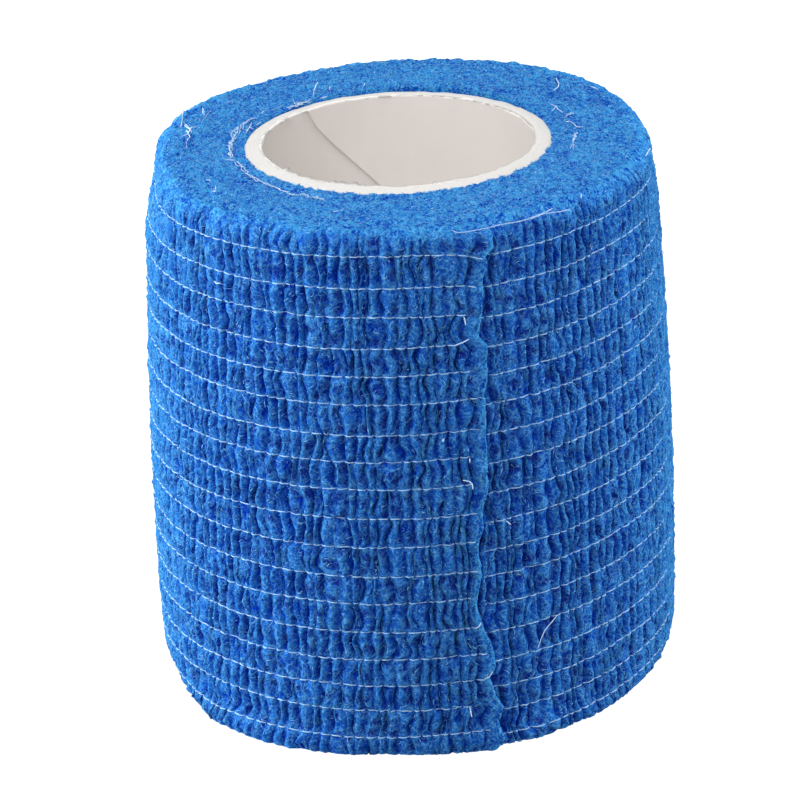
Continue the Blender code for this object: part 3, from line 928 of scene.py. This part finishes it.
# %% A layer of fuzz
FIBRE_CLEAR = 0.01 * MM             # every fibre lies at least this far off the cloth


def over_grid(points, row, column):
    """Points on a grid of points at fractional rows and columns."""
    row = np.clip(row, 0, points.shape[0] - 1.001)
    column = np.clip(column, 0, points.shape[1] - 1.001)
    r, c = row.astype(int), column.astype(int)
    down, over = (row - r)[..., None], (column - c)[..., None]
    upper = mixed(points[r, c], points[r, c + 1], over)
    return mixed(upper, mixed(points[r + 1, c], points[r + 1, c + 1], over), down)


def fuzz(points, count, pitch_down, pitch_over, length, lift, steps=4):
    """Short curling strands that lie on a grid of points, whose rows and columns have a known pitch."""
    slope_down, slope_over = np.gradient(points, axis=(0, 1))
    facing = np.cross(slope_down, slope_over)
    facing /= np.linalg.norm(facing, axis=2, keepdims=True) + 1e-15
    row = chance.uniform(1, points.shape[0] - 2, (count, 1))
    column = chance.uniform(1, points.shape[1] - 2, (count, 1))
    heading = chance.uniform(0, FULL_TURN, (count, 1))
    curl = chance.normal(0, 1.6, (count, 1))
    size = chance.uniform(0.4, 1.0, (count, 1)) * length
    step = np.linspace(0, 1, steps)[None, :]
    angle = heading + curl * step * 2
    row = row + np.cumsum(np.cos(angle), 1) * size / steps / pitch_down
    column = column + np.cumsum(np.sin(angle), 1) * size / steps / pitch_over
    arch = lift * chance.uniform(0.3, 1.0, (count, 1)) * np.sin(math.pi * (0.15 + 0.75 * step))
    return over_grid(points, row, column) + over_grid(facing, row, column) * (arch[..., None] + FIBRE_CLEAR)


print("a fibre stands", FIBRE_CLEAR / MM, "mm clear of the cloth")

# %% [markdown]
# Most fibres lie close. A few stray ones on the last turn are longer and stand off, and break up its outline.

# %% Fibres on the cloth
FIBRES, STRAY_FIBRES = 9000, 260
TURN_FIBRE_WIDTH, FACE_FIBRE_WIDTH = 0.055 * MM, 0.045 * MM
TURN_PITCH = (0.4 * MM, 0.21 * MM)                  # of the mesh's rows and columns
FACE_PITCH = (0.15 * MM, 0.14 * MM)
turn_fuzz = fuzz(points[:-3], FIBRES, *TURN_PITCH, length=0.8 * MM, lift=0.08 * MM)
turn_fibres = strand_mesh("turn_fibres", turn_fuzz, TURN_FIBRE_WIDTH, sides=3)
stray = fuzz(points[:-3], STRAY_FIBRES, *TURN_PITCH, length=1.6 * MM, lift=0.45 * MM)
face_fuzz = fuzz(face_points, FIBRES, *FACE_PITCH, length=0.6 * MM, lift=0.15 * MM)
face_fibres = strand_mesh("face_fibres", [*face_fuzz, *stray], FACE_FIBRE_WIDTH, sides=3)

# %% [markdown]
# ## The tube's board
# The tube is wound card: a pale board with a smooth grey liner inside. The board is one section carried
# round the bore. Its rim slopes down outwards, where the winding presses on it. Cutting the tube left a
# burr along the bore, and a torn flake that leans in over it.

# %% Build the board
BORE_RADIUS = 12.5 * MM
TUBE_HEIGHT = tube_high[2]
TUBE_COLUMNS = 480
MID_HEIGHT = 25 * MM
BOARD_BORE = BORE_RADIUS + 0.05 * MM
# millimetres in from the outer side and down from the top, then out from the bore and down from the top
OUTER_EDGE = ((0, 0.5), (0.06, 0.3), (0.25, 0.2), (0.6, 0.12), (0.85, 0.09), (1.1, 0.03))
BORE_EDGE = ((0.3, 0), (0.08, 0.08), (0.06, 0.3), (0.05, 1.2))
UNEVEN_REACH = 2 * MM               # the card is uneven this far down from its rim
UNEVEN_UP = ((0.06, 1.1, 6),)
UNEVEN_OUT = ((0.03, 0.6, 7),)
RIM_FALL = 0.05                     # millimetres by which the uneven rim lies lower than a straight one
BURR_LUMPS = ((0.36, 1.3, 12), (0.44, 0.42, 13))
BURR_MEAN, BURR_UP = 0.2, 0.5       # millimetres in over the bore, and how much it turns up beyond that
BURR_LEAST = 0.35                   # share of it that is left on the far side
BURR_MOSTLY = math.radians(-50)     # the burr is widest in this direction from the front
FLAKE_DIRECTION, FLAKE_REACH, FLAKE_OUT = math.radians(-22), math.radians(8), 0.45


def tube_ring(radius, around, height):
    """Points around the tube, from a radius, directions and a height."""
    x, y = TUBE_X + radius * np.sin(around), TUBE_Y - radius * np.cos(around)
    return np.stack(np.broadcast_arrays(x, y, height), -1)


def burr_at(ring):
    """How far the burr stands in over the bore, in millimetres, at each point of the rim's inner ring."""
    burr = np.clip(BURR_MEAN + rough(ring, BURR_LUMPS), 0, 1)
    burr = burr * mixed(BURR_LEAST, 1, np.clip(np.cos(around - BURR_MOSTLY), 0, 1))
    from_flake = (around - FLAKE_DIRECTION + math.pi) % FULL_TURN - math.pi
    return burr + FLAKE_OUT * np.clip(1 - (from_flake / FLAKE_REACH) ** 4, 0, 1)


around = np.linspace(0, FULL_TURN, TUBE_COLUMNS, endpoint=False)
section = [(TUBE_RADIUS, 0.0), (TUBE_RADIUS, MID_HEIGHT)]
section += [(TUBE_RADIUS - inwards * MM, TUBE_HEIGHT - down * MM) for inwards, down in OUTER_EDGE]
section += [(BORE_RADIUS + outwards * MM, TUBE_HEIGHT - down * MM) for outwards, down in BORE_EDGE]
section += [(BOARD_BORE, MID_HEIGHT), (BOARD_BORE, 0.0)]
board_rings = []
for radius, level in section:
    ring = tube_ring(radius, around, level)
    if level > TUBE_HEIGHT - UNEVEN_REACH:
        ring[:, 2] += (rough(ring, UNEVEN_UP) - RIM_FALL) * MM
        ring[:, :2] += rough(ring, UNEVEN_OUT)[:, None] * MM
        if radius < BORE_RADIUS + 0.2 * MM and level > TUBE_HEIGHT - 0.2 * MM:
            burr = burr_at(ring)
            ring[:, 0] -= burr * MM * np.sin(around)
            ring[:, 1] += burr * MM * np.cos(around)
            ring[:, 2] += BURR_UP * MM * np.clip(burr - BURR_MEAN, 0, 1)
    board_rings.append(ring)
tube_board = grid_piece("tube_board", np.stack(board_rings), around=True, across=True)

# %% [markdown]
# ## The tube's liner
# The liner is a smooth grey paper, wound in a spiral. Cutting the tube tore it, so it ends in a ragged edge
# a little below the board's rim. Its own seam runs down to the right as a fine step. The grid's columns
# start and end at the seam, and each ring of them is turned a little farther than the one below.

# %% Build the liner
LINER_PAPER = 0.18 * MM
SEAM_STEP = 0.11 * MM
# the seam's height in millimetres and its direction in degrees: it curves in under the rim
SEAM = np.array((
    (0, 10.5), (20, 96.5), (41.5, 188.9), (43.5, 197.5), (45.6, 206.5), (48.3, 217.6), (50.4, 222.5),
))
BESIDE_SEAM = (0.0005, 0.006, 0.012, 0.03, FULL_TURN - 0.03, FULL_TURN - 0.004)
LINER_LEVELS = (0, 0.25, 0.6, 1.2, 2, 3, 4.5, 6, 7.5, 9, 13, 20, 30, 40, 50.3)  # millimetres below the rim
TORN_STEPS = {1: 0.12 * MM, 2: 0.1 * MM}            # the rings below the torn edge keep clear of it
# painted shadow beside the seam, and a painted highlight on the paper's edge on its other side
SEAM_SHADOWS = ((0.48, 0.035), (0.06, 0.2))         # how dark, and over how many radians beside the seam
SEAM_LIGHT, SEAM_LIGHT_REACH = 0.25, 0.08           # and how the paper's edge on its other side is lighter
liner_around = np.sort([*around, *BESIDE_SEAM])
liner_rings = []
for number, down in enumerate(LINER_LEVELS):
    level = TUBE_HEIGHT - down * MM
    directions = liner_around + np.radians(np.interp(level / MM, SEAM[:, 0], SEAM[:, 1]))
    past_seam = SEAM_STEP * np.exp(-(FULL_TURN - liner_around) * 4) * (liner_around > 0.0001)
    ring = tube_ring(BORE_RADIUS - past_seam, directions, level)
    if number == 0:
        place = tube_ring(BORE_RADIUS, directions, 0.0)
        right = np.clip(np.sin(directions), 0, 1) ** 2
        torn = 0.08 + 0.3 * right + (0.06 + 0.12 * right) * lumps(place, 1.7 * MM, 8)
        torn += (0.05 + 0.08 * right) * lumps(place, 0.6 * MM, 9)
        ring[:, 2] -= np.clip(torn, 0.03, 0.9) * MM
    elif number in TORN_STEPS:
        ring[:, 2] = np.minimum(ring[:, 2], liner_rings[-1][:, 2] - TORN_STEPS[number])
    liner_rings.append(ring)
outer_ring = liner_rings[0].copy()
away = outer_ring[:, :2] - (TUBE_X, TUBE_Y)
outer_ring[:, :2] += away / np.linalg.norm(away, axis=1, keepdims=True) * LINER_PAPER
tube_liner = grid_piece("tube_liner", np.stack([outer_ring, *liner_rings]), around=True)
seam_shadow = sum(dark * np.exp(-liner_around / reach) for dark, reach in SEAM_SHADOWS)
seam_light = SEAM_LIGHT * np.exp(-(FULL_TURN - liner_around) / SEAM_LIGHT_REACH)
mark(tube_liner, "seam", np.broadcast_to(seam_shadow - seam_light, (len(liner_rings) + 1, len(liner_around))))
torn_depth = TUBE_HEIGHT - liner_rings[0][:, 2].min()
print("the torn edge lies", round(torn_depth / MM, 2), "mm below the rim at most")

# %% [markdown]
# ## Finishes
# A finish is a tree of shader nodes. Making and linking each node line by line would bury what the tree
# does, so a few helpers make nodes and hand back what they put out. A sum, a difference or a product with
# such a value adds a Math node, so that a line of a finish reads like the formula it stands for.

# %% Values that flow through a tree
class Flow:
    """What a node puts out. Sums with it add Math nodes to its tree."""

    def __init__(self, tree, socket):
        self.tree = tree
        self.socket = socket

    def __add__(self, other):
        return maths("ADD", self, other)

    def __sub__(self, other):
        return maths("SUBTRACT", self, other)

    def __rsub__(self, other):
        return maths("SUBTRACT", other, self)

    def __mul__(self, other):
        return maths("MULTIPLY", self, other)

    def __abs__(self):
        return maths("ABSOLUTE", self)


def feed(source, slot):
    """Link a flow to an input, or set the input where the source is a plain value."""
    if isinstance(source, Flow):
        source.tree.links.new(source.socket, slot)
    else:
        slot.default_value = source


def use(tree, kind, feeds=(), output=0, **settings):
    """Add a node with its settings, feed its inputs by name or number, and hand back one of its outputs."""
    made = tree.nodes.new(kind)
    for name, value in settings.items():
        setattr(made, name, value)
    for slot, source in feeds.items() if isinstance(feeds, dict) else enumerate(feeds):
        feed(source, made.inputs[slot])
    return Flow(tree, made.outputs[output])


def maths(operation, first, second=0.0, clamp=False):
    """The result of a Math node. One of its two values, at least, is a flow."""
    tree = (first if isinstance(first, Flow) else second).tree
    return use(tree, "ShaderNodeMath", (first, second), operation=operation, use_clamp=clamp)


def split(place):
    """The three parts of a place."""
    apart = use(place.tree, "ShaderNodeSeparateXYZ", (place,)).socket.node
    return [Flow(place.tree, part) for part in apart.outputs]


print("helpers: feed, use, maths, split")

# %% [markdown]
# The next helpers make the few kinds of node that the finishes use most, each named for what it does.

# %% Shader helpers
def blend(share, first, second):
    """A colour between two others."""
    return use(share.tree, "ShaderNodeMix", {0: share, 6: first, 7: second}, 2, data_type="RGBA")


def stretch(value, low, high, start=0.0, end=1.0, smooth=False):
    """A value carried from one range over to another, and held at its ends."""
    way = "SMOOTHSTEP" if smooth else "LINEAR"
    return use(value.tree, "ShaderNodeMapRange", (value, low, high, start, end), interpolation_type=way)


def noise(place, scale, detail=1.0):
    """Soft random values; the scale is about the number of lumps in a metre."""
    return use(place.tree, "ShaderNodeTexNoise", {"Vector": place, "Scale": scale, "Detail": detail}, "Fac")


def moved(place, shift):
    """A place moved by the same amount in all three directions, to read another part of a noise."""
    return use(place.tree, "ShaderNodeVectorMath", (place, (shift, shift, shift)), operation="ADD")


def marked(tree, name, output="Fac"):
    """A mark that a piece's mesh carries."""
    return use(tree, "ShaderNodeAttribute", output=output, attribute_name=name)


def bumped(inputs, height, depth):
    """Let a height roughen the light on a surface as if it stood out by up to a depth."""
    feeds = {"Strength": 1.0, "Distance": depth, "Height": height}
    feed(use(height.tree, "ShaderNodeBump", feeds, "Normal"), inputs["Normal"])


def finish_of(name, settings):
    """A new material: the finish, places on the object it dresses, and its Principled shader's inputs."""
    finish = bpy.data.materials.new(name)
    finish.use_nodes = True
    inputs = finish.node_tree.nodes["Principled BSDF"].inputs
    for slot, value in settings.items():
        inputs[slot].default_value = value
    return finish, use(finish.node_tree, "ShaderNodeTexCoord", output="Object"), inputs


print("helpers: blend, stretch, noise, moved, marked, bumped, finish_of")

# %% [markdown]
# The felt and the pleated cloth share their web of fibres. An effect that more than one finish uses is a
# node group: it is built once, and each finish places it with its own values.

# %% Group helpers
def effect(name, outputs, **inputs):
    """A node group with numbers as outputs. An input given as None is a place, any other is a number."""
    tree = bpy.data.node_groups.new(name, "ShaderNodeTree")
    for label, value in inputs.items():
        kind = "NodeSocketVector" if value is None else "NodeSocketFloat"
        slot = tree.interface.new_socket(label, in_out="INPUT", socket_type=kind)
        if value is not None:
            slot.default_value = value
    for label in outputs:
        tree.interface.new_socket(label, in_out="OUTPUT", socket_type="NodeSocketFloat")
    given = tree.nodes.new("NodeGroupInput")
    return tree, {slot.name: Flow(tree, slot) for slot in given.outputs}


def put_out(tree, **values):
    """Link values to the outputs of the same names of a node group."""
    out = tree.nodes.new("NodeGroupOutput")
    for label, value in values.items():
        feed(value, out.inputs[label])
    print(tree.name, "has", len(tree.nodes), "nodes")


def placed(tree, group, **feeds):
    """Place a node group in a finish, feed it, and hand back its outputs by name."""
    made = tree.nodes.new("ShaderNodeGroup")
    made.node_tree = group
    for label, source in feeds.items():
        feed(source, made.inputs[label])
    return {slot.name: Flow(tree, slot) for slot in made.outputs}


print("helpers: effect, put_out, placed")

# %% [markdown]
# ## A web of fibres
# The cloth is not woven. It is a felt of fine fibres that cross at random, with small pores between them,
# which the finishes darken as painted shade. The lines where a smooth noise passes through its middle value
# wind about just as such fibres do, so two sizes of them, one over the other, make the web.

# %% Fibre web
MESHES_A_METRE = 1500.0
FIBRE_WIDTH = 0.075                 # as a share of the noise's whole range
FIBRE_SIZES = ((1.0, 0.0), (1.7, 0.031))            # how much finer, and the shift of its noise
PORES_FINER, GRAIN_FINER, GRAIN_SHIFT = 1.9, 3.6, 0.083
web, given = effect(
    "fibre_web", ("Fibres", "Pores", "Grain", "Height"), Place=None, Mesh=MESHES_A_METRE, Width=FIBRE_WIDTH
)
fibres = None
for finer, shift in FIBRE_SIZES:
    wave = noise(moved(given["Place"], shift), given["Mesh"] * finer, 0.0)
    line = stretch(abs(wave - 0.5), 0.0, given["Width"], 1.0, 0.0)
    fibres = maths("MAXIMUM", fibres, line) if fibres else line
pores = stretch(noise(given["Place"], given["Mesh"] * PORES_FINER, 2.0), 0.36, 0.52, 1.0, 0.0)
grain = noise(moved(given["Place"], GRAIN_SHIFT), given["Mesh"] * GRAIN_FINER)
grain = stretch(grain, 0.3, 0.7, -1.0, 1.0)
fibres = fibres * stretch(grain, -0.6, 0.5, 0.35, 1.0)
put_out(web, Fibres=fibres, Pores=pores, Grain=grain, Height=fibres - pores + grain * 0.3)

# %% [markdown]
# ## Fine crinkles
# The mesh has room for one smooth valley on each side of a pleat. On the real cloth the valley is a narrow
# crease that wriggles, smaller creases cross the pleat, and small dimples with a raised ring dot it. They
# are drawn in the strip's own measure, pleats along it and bands across it, so they stay in step with the
# mesh, and they fade where the pleats do.

# %% Fine crinkles
WRIGGLES_A_METRE, WRIGGLE = 1300.0, 0.23            # the second in pleats, to each side
FORCES_A_METRE = 500.0              # a crease is deep over some two millimetres and faint over the next
CREASE_REACH = 0.27                 # pleats
CELLS = (1.2, 1.9)                  # wrinkles a pleat along the strip, and a band across it
WRINKLE_REACH = 0.12
DOTS, DOTS_SHIFT = 0.8, 7.3         # dimples to each wrinkle
UNDIMPLED = 0.45                    # share of the places for a dimple that stay empty
DIMPLE_REACH, RING_REACH = (0.1, 0.35), 0.42
SUNK = {"dimple": 0.7, "wrinkle": 0.4, "ring": 0.4}  # as shares of a crease's depth
crinkle, given = effect(
    "fine_crinkle", ("Crease", "Wrinkle", "Dimple", "Ring", "Kept", "Height"), Place=None, Run=None
)
pleats, bands, kept = split(given["Run"])
pleats = pleats + stretch(noise(given["Place"], WRIGGLES_A_METRE), 0.25, 0.75, -WRIGGLE, WRIGGLE)
from_valley = maths("PINGPONG", pleats, 0.5)
force = stretch(noise(moved(given["Place"], 0.013), FORCES_A_METRE), 0.35, 0.6, 0.35, 1.0)
swell = maths("SINE", maths("FRACT", bands) * math.pi)
crease = stretch(from_valley, 0.02, CREASE_REACH, 1.0, 0.0, smooth=True) * force
crease = crease * stretch(swell, 0.0, 0.7, 0.3, 1.0) * kept
cells_place = use(crinkle, "ShaderNodeCombineXYZ", (pleats * CELLS[0], bands * CELLS[1]))
cells = use(
    crinkle, "ShaderNodeTexVoronoi", {"Vector": cells_place, "Scale": 1.0}, "Distance",
    feature="DISTANCE_TO_EDGE", voronoi_dimensions="2D",
)
wrinkle = stretch(cells, 0.0, WRINKLE_REACH, 1.0, 0.0) * kept
dots = use(
    crinkle, "ShaderNodeTexVoronoi", {"Vector": moved(cells_place, DOTS_SHIFT), "Scale": DOTS}, "Distance",
    feature="F1", voronoi_dimensions="2D",
)
picked = split(Flow(crinkle, dots.socket.node.outputs["Color"]))[0]
chosen = maths("GREATER_THAN", picked, UNDIMPLED) * kept
dimple = stretch(dots, *DIMPLE_REACH, 1.0, 0.0, smooth=True) * chosen
ring = stretch(abs(dots - RING_REACH), 0.02, 0.09, 1.0, 0.0, smooth=True) * chosen
sunk = crease + dimple * SUNK["dimple"] + wrinkle * SUNK["wrinkle"] - ring * SUNK["ring"]
put_out(crinkle, Crease=crease, Wrinkle=wrinkle, Dimple=dimple, Ring=ring, Kept=kept, Height=sunk * -1.0)

# %% [markdown]
# ## The cloth's own finish
# The cloth is blue, bright on the crests, with paler fibres over it. The deep blue in the creases,
# wrinkles, pores and dimples is painted shade, and the paler ring round each dimple is a painted
# highlight. There is no shine, as the surface is matt and a little sticky, only a soft blue glow at grazing
# angles from its loose fibres. The felt is brighter than the pleats, and its grain, its pores and their
# relief are stronger.

# %% Cloth
# the valley, felt-gap and dimple darks are the colours of painted shade
VALLEY_PAINTED_SHADE = (0.0005, 0.027, 0.38, 1)
CREST_BLUE = (0.018, 0.15, 0.53, 1)
FELT_BLUE = (0.044, 0.305, 0.66, 1)
FELT_PAINTED_SHADE = (0.002, 0.05, 0.42, 1)
DIMPLE_PAINTED_SHADE = (0.008, 0.018, 0.22, 1)
FIBRE_BLUE = (0.13, 0.45, 0.85, 1)
CLOTH_SHADER = {
    "Roughness": 0.9,
    "Specular IOR Level": 0.0,
    "Sheen Weight": 0.8,
    "Sheen Roughness": 0.25,
    "Sheen Tint": (0.08, 0.48, 0.8, 1),
}
NAP = (1.0, 0.6, 1.0)               # the nap lies mostly front to back, so its fibres look longer that way
FELT_TEXTURE = (0.45, 0.4, 0.35)    # grain, pores and relief
PLEAT_TEXTURE = (0.08, 0.25, 0.25)
# painted shade in the creases, wrinkles and dimples: how much each darkens the cloth
CRINKLE_PAINTED_SHADE = {"Crease": 0.75, "Wrinkle": 0.3, "Dimple": 0.45}
CLOTH_GRAIN_DEPTH = 0.2 * MM


def cloth(name, crinkled):
    """The cloth's finish, either crinkled as on the pleats or plain as the felt."""
    finish, here, inputs = finish_of(name, CLOTH_SHADER)
    tree = here.tree
    place = use(tree, "ShaderNodeVectorMath", (here, NAP), operation="MULTIPLY")
    texture = placed(tree, web, Place=place)
    crest, valley = FELT_BLUE, FELT_PAINTED_SHADE
    grain, pores, relief = FELT_TEXTURE
    if crinkled:
        fine = placed(tree, crinkle, Place=place, Run=marked(tree, "pleat_run", "Vector"))
        kept = fine["Kept"]
        crest, valley = blend(kept, FELT_BLUE, CREST_BLUE), blend(kept, FELT_PAINTED_SHADE, VALLEY_PAINTED_SHADE)
        grain, pores, relief = (stretch(kept, 0.0, 1.0, *ends) for ends in zip(FELT_TEXTURE, PLEAT_TEXTURE))
    height = texture["Height"] * relief
    cloud = stretch(noise(place, 700.0), 0.25, 0.75, -0.12, 0.12)
    # the mark's painted light and shade, with random tone and grain
    varied = maths("ADD", marked(tree, "pleat") + cloud, texture["Grain"] * grain, clamp=True)
    if crinkled:
        for output, strength in CRINKLE_PAINTED_SHADE.items():
            varied = varied * (1.0 - fine[output] * strength)
        height = height + fine["Height"]
    # painted shade from the mark and the pores, between the dark blue and the cloth's blue
    base = blend(maths("SUBTRACT", varied, texture["Pores"] * pores, clamp=True), valley, crest)
    # pale fibres, dimmed where the painted shade is dark
    lit = texture["Fibres"] * stretch(varied, 0.0, 0.8, 0.05, 0.75)
    if crinkled:
        # painted shade in the dimples
        base = blend(fine["Dimple"] * 0.8, base, DIMPLE_PAINTED_SHADE)
        # painted highlight on the raised ring round each dimple
        lit = maths("MAXIMUM", lit, fine["Ring"] * 0.25)
    feed(blend(lit, base, FIBRE_BLUE), inputs["Base Color"])
    bumped(inputs, height, CLOTH_GRAIN_DEPTH)
    return finish


crinkled_cloth = cloth("crinkled_cloth", True)
felted_cloth = cloth("felted_cloth", False)
for finish in (crinkled_cloth, felted_cloth):
    print(finish.name, "has", len(finish.node_tree.nodes), "nodes")

# %% [markdown]
# ## Threads and fibres
# A thread is pale where it crosses a crest. Where it dips into a valley it is darkened towards the cloth's
# blue as painted shade, and where fibres lie over it, as at the right, it takes on that blue as well, so each
# thread's mesh says how pale it is at every point. Fine slanting lines stand for its twist. The fibres are
# too fine for any of that, and only vary between two blues.

# %% Threads and fibres
LAID_WHITE = (0.5, 0.78, 1.0, 1)
LOOSE_WHITE = (0.66, 0.84, 1.0, 1)
THREAD_BLUE_AND_SHADE = (0.03, 0.16, 0.6, 1)
FIBRE_DEEP = (0.02, 0.2, 0.75, 1)
FIBRE_BRIGHT = (0.3, 0.68, 1.0, 1)
TWIST_DEPTH = 0.01 * MM


def thread_finish(name, white, twist_pitch):
    """The finish of an elastic thread, pale where it is marked so."""
    finish, place, inputs = finish_of(name, {"Roughness": 0.6})
    uneven = stretch(noise(place, 2600.0, 2.0), 0.3, 0.7, 0.7, 1.0)
    pale = maths("MULTIPLY", marked(place.tree, "pale"), uneven, clamp=True)
    feed(blend(pale, THREAD_BLUE_AND_SHADE, white), inputs["Base Color"])
    feeds = {"Vector": place, "Scale": 0.3 / twist_pitch, "Distortion": 1.5}
    twist = use(place.tree, "ShaderNodeTexWave", feeds, "Fac", bands_direction="DIAGONAL")
    bumped(inputs, twist, TWIST_DEPTH)
    return finish


laid_thread = thread_finish("laid_thread", LAID_WHITE, 0.12 * MM)
loose_thread = thread_finish("loose_thread", LOOSE_WHITE, 0.1 * MM)
loose_fibre, place, inputs = finish_of("loose_fibre", {"Roughness": 0.6, "Specular IOR Level": 0.1})
feed(blend(stretch(noise(place, 2400.0), 0.35, 0.65), FIBRE_DEEP, FIBRE_BRIGHT), inputs["Base Color"])
print("finishes:", laid_thread.name, loose_thread.name, loose_fibre.name)

# %% [markdown]
# ## Card
# The board is pale and its cut rim shows the edges of its wound plies as faint rings, so its colour goes by
# the distance from the tube's axis.

# %% Board
BOARD_PALE = (0.67, 0.655, 0.635, 1)
BOARD_PLY = (0.57, 0.555, 0.535, 1)
PLY = 0.4 * MM
BOARD_DEPTH = 0.05 * MM
pale_board, place, inputs = finish_of("pale_board", {"Roughness": 0.85})
from_axis = use(place.tree, "ShaderNodeVectorMath", (place, (TUBE_X, TUBE_Y, 0.0)), operation="SUBTRACT")
level = use(place.tree, "ShaderNodeVectorMath", (from_axis, (1.0, 1.0, 0.0)), operation="MULTIPLY")
radius = use(place.tree, "ShaderNodeVectorMath", (level,), "Value", operation="LENGTH")
radius = radius + stretch(noise(place, 700.0, 2.0), 0.3, 0.7, -0.25 * PLY, 0.25 * PLY)
ply = stretch(maths("PINGPONG", radius, PLY / 2), 0.0, 0.25 * PLY, 1.0, 0.0)
fleck = stretch(noise(place, 2500.0, 2.0), 0.3, 0.7, 0.0, 0.35)
worn_board = maths("ADD", ply * 0.2, fleck, clamp=True)
feed(blend(worn_board, BOARD_PALE, BOARD_PLY), inputs["Base Color"])
bumped(inputs, worn_board * -1.0, BOARD_DEPTH)
print(pale_board.name, "shows a ply every", PLY / MM, "mm")

# %% [markdown]
# The liner inside is a smoother, greyer paper with a soft mottle. Beside its own seam it gets a painted
# shadow, where the next turn of paper lies over it.

# %% Liner
LINER_GREY = (0.9, 0.86, 0.83, 1)
LINER_MOTTLE = (0.93, 0.89, 0.86, 1)
SEAM_SHADE = (0.52, 0.49, 0.47, 1)
LINER_DEPTH = 0.01 * MM
grey_liner, place, inputs = finish_of("grey_liner", {"Roughness": 0.7})
mottled = blend(stretch(noise(place, 160.0, 3.0), 0.3, 0.7), LINER_GREY, LINER_MOTTLE)
# the seam's painted shadow
seam = maths("MULTIPLY", marked(place.tree, "seam"), 0.75, clamp=True)
feed(blend(seam, mottled, SEAM_SHADE), inputs["Base Color"])
bumped(inputs, noise(place, 1800.0, 2.0), LINER_DEPTH)
print(grey_liner.name, "is ready")

# %% [markdown]
# ## Dress the solids
# Every piece gets its finish and rides on the roll's one body. The last turn, the wound cloth and the board
# take the place of the three solids, which are hidden.

# %% Ride and replace
for piece, finish, solid, slot in (
    (last_turn, crinkled_cloth, "outer_turn", "outer_cloth"),
    (wound_cloth, felted_cloth, "wound_roll", "wound_cloth"),
    (elastic_threads, laid_thread, None, "outer_cloth"),
    (loose_threads, loose_thread, None, "wound_cloth"),
    (turn_fibres, loose_fibre, None, "outer_cloth"),
    (face_fibres, loose_fibre, None, "wound_cloth"),
    (tube_board, pale_board, "core", "tube_cardboard"),
    (tube_liner, grey_liner, None, "tube_cardboard"),
):
    piece.data.materials.append(finish)
    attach(piece, "root")
    if solid:
        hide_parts(solid)
    print(piece.name, "wears", finish.name)
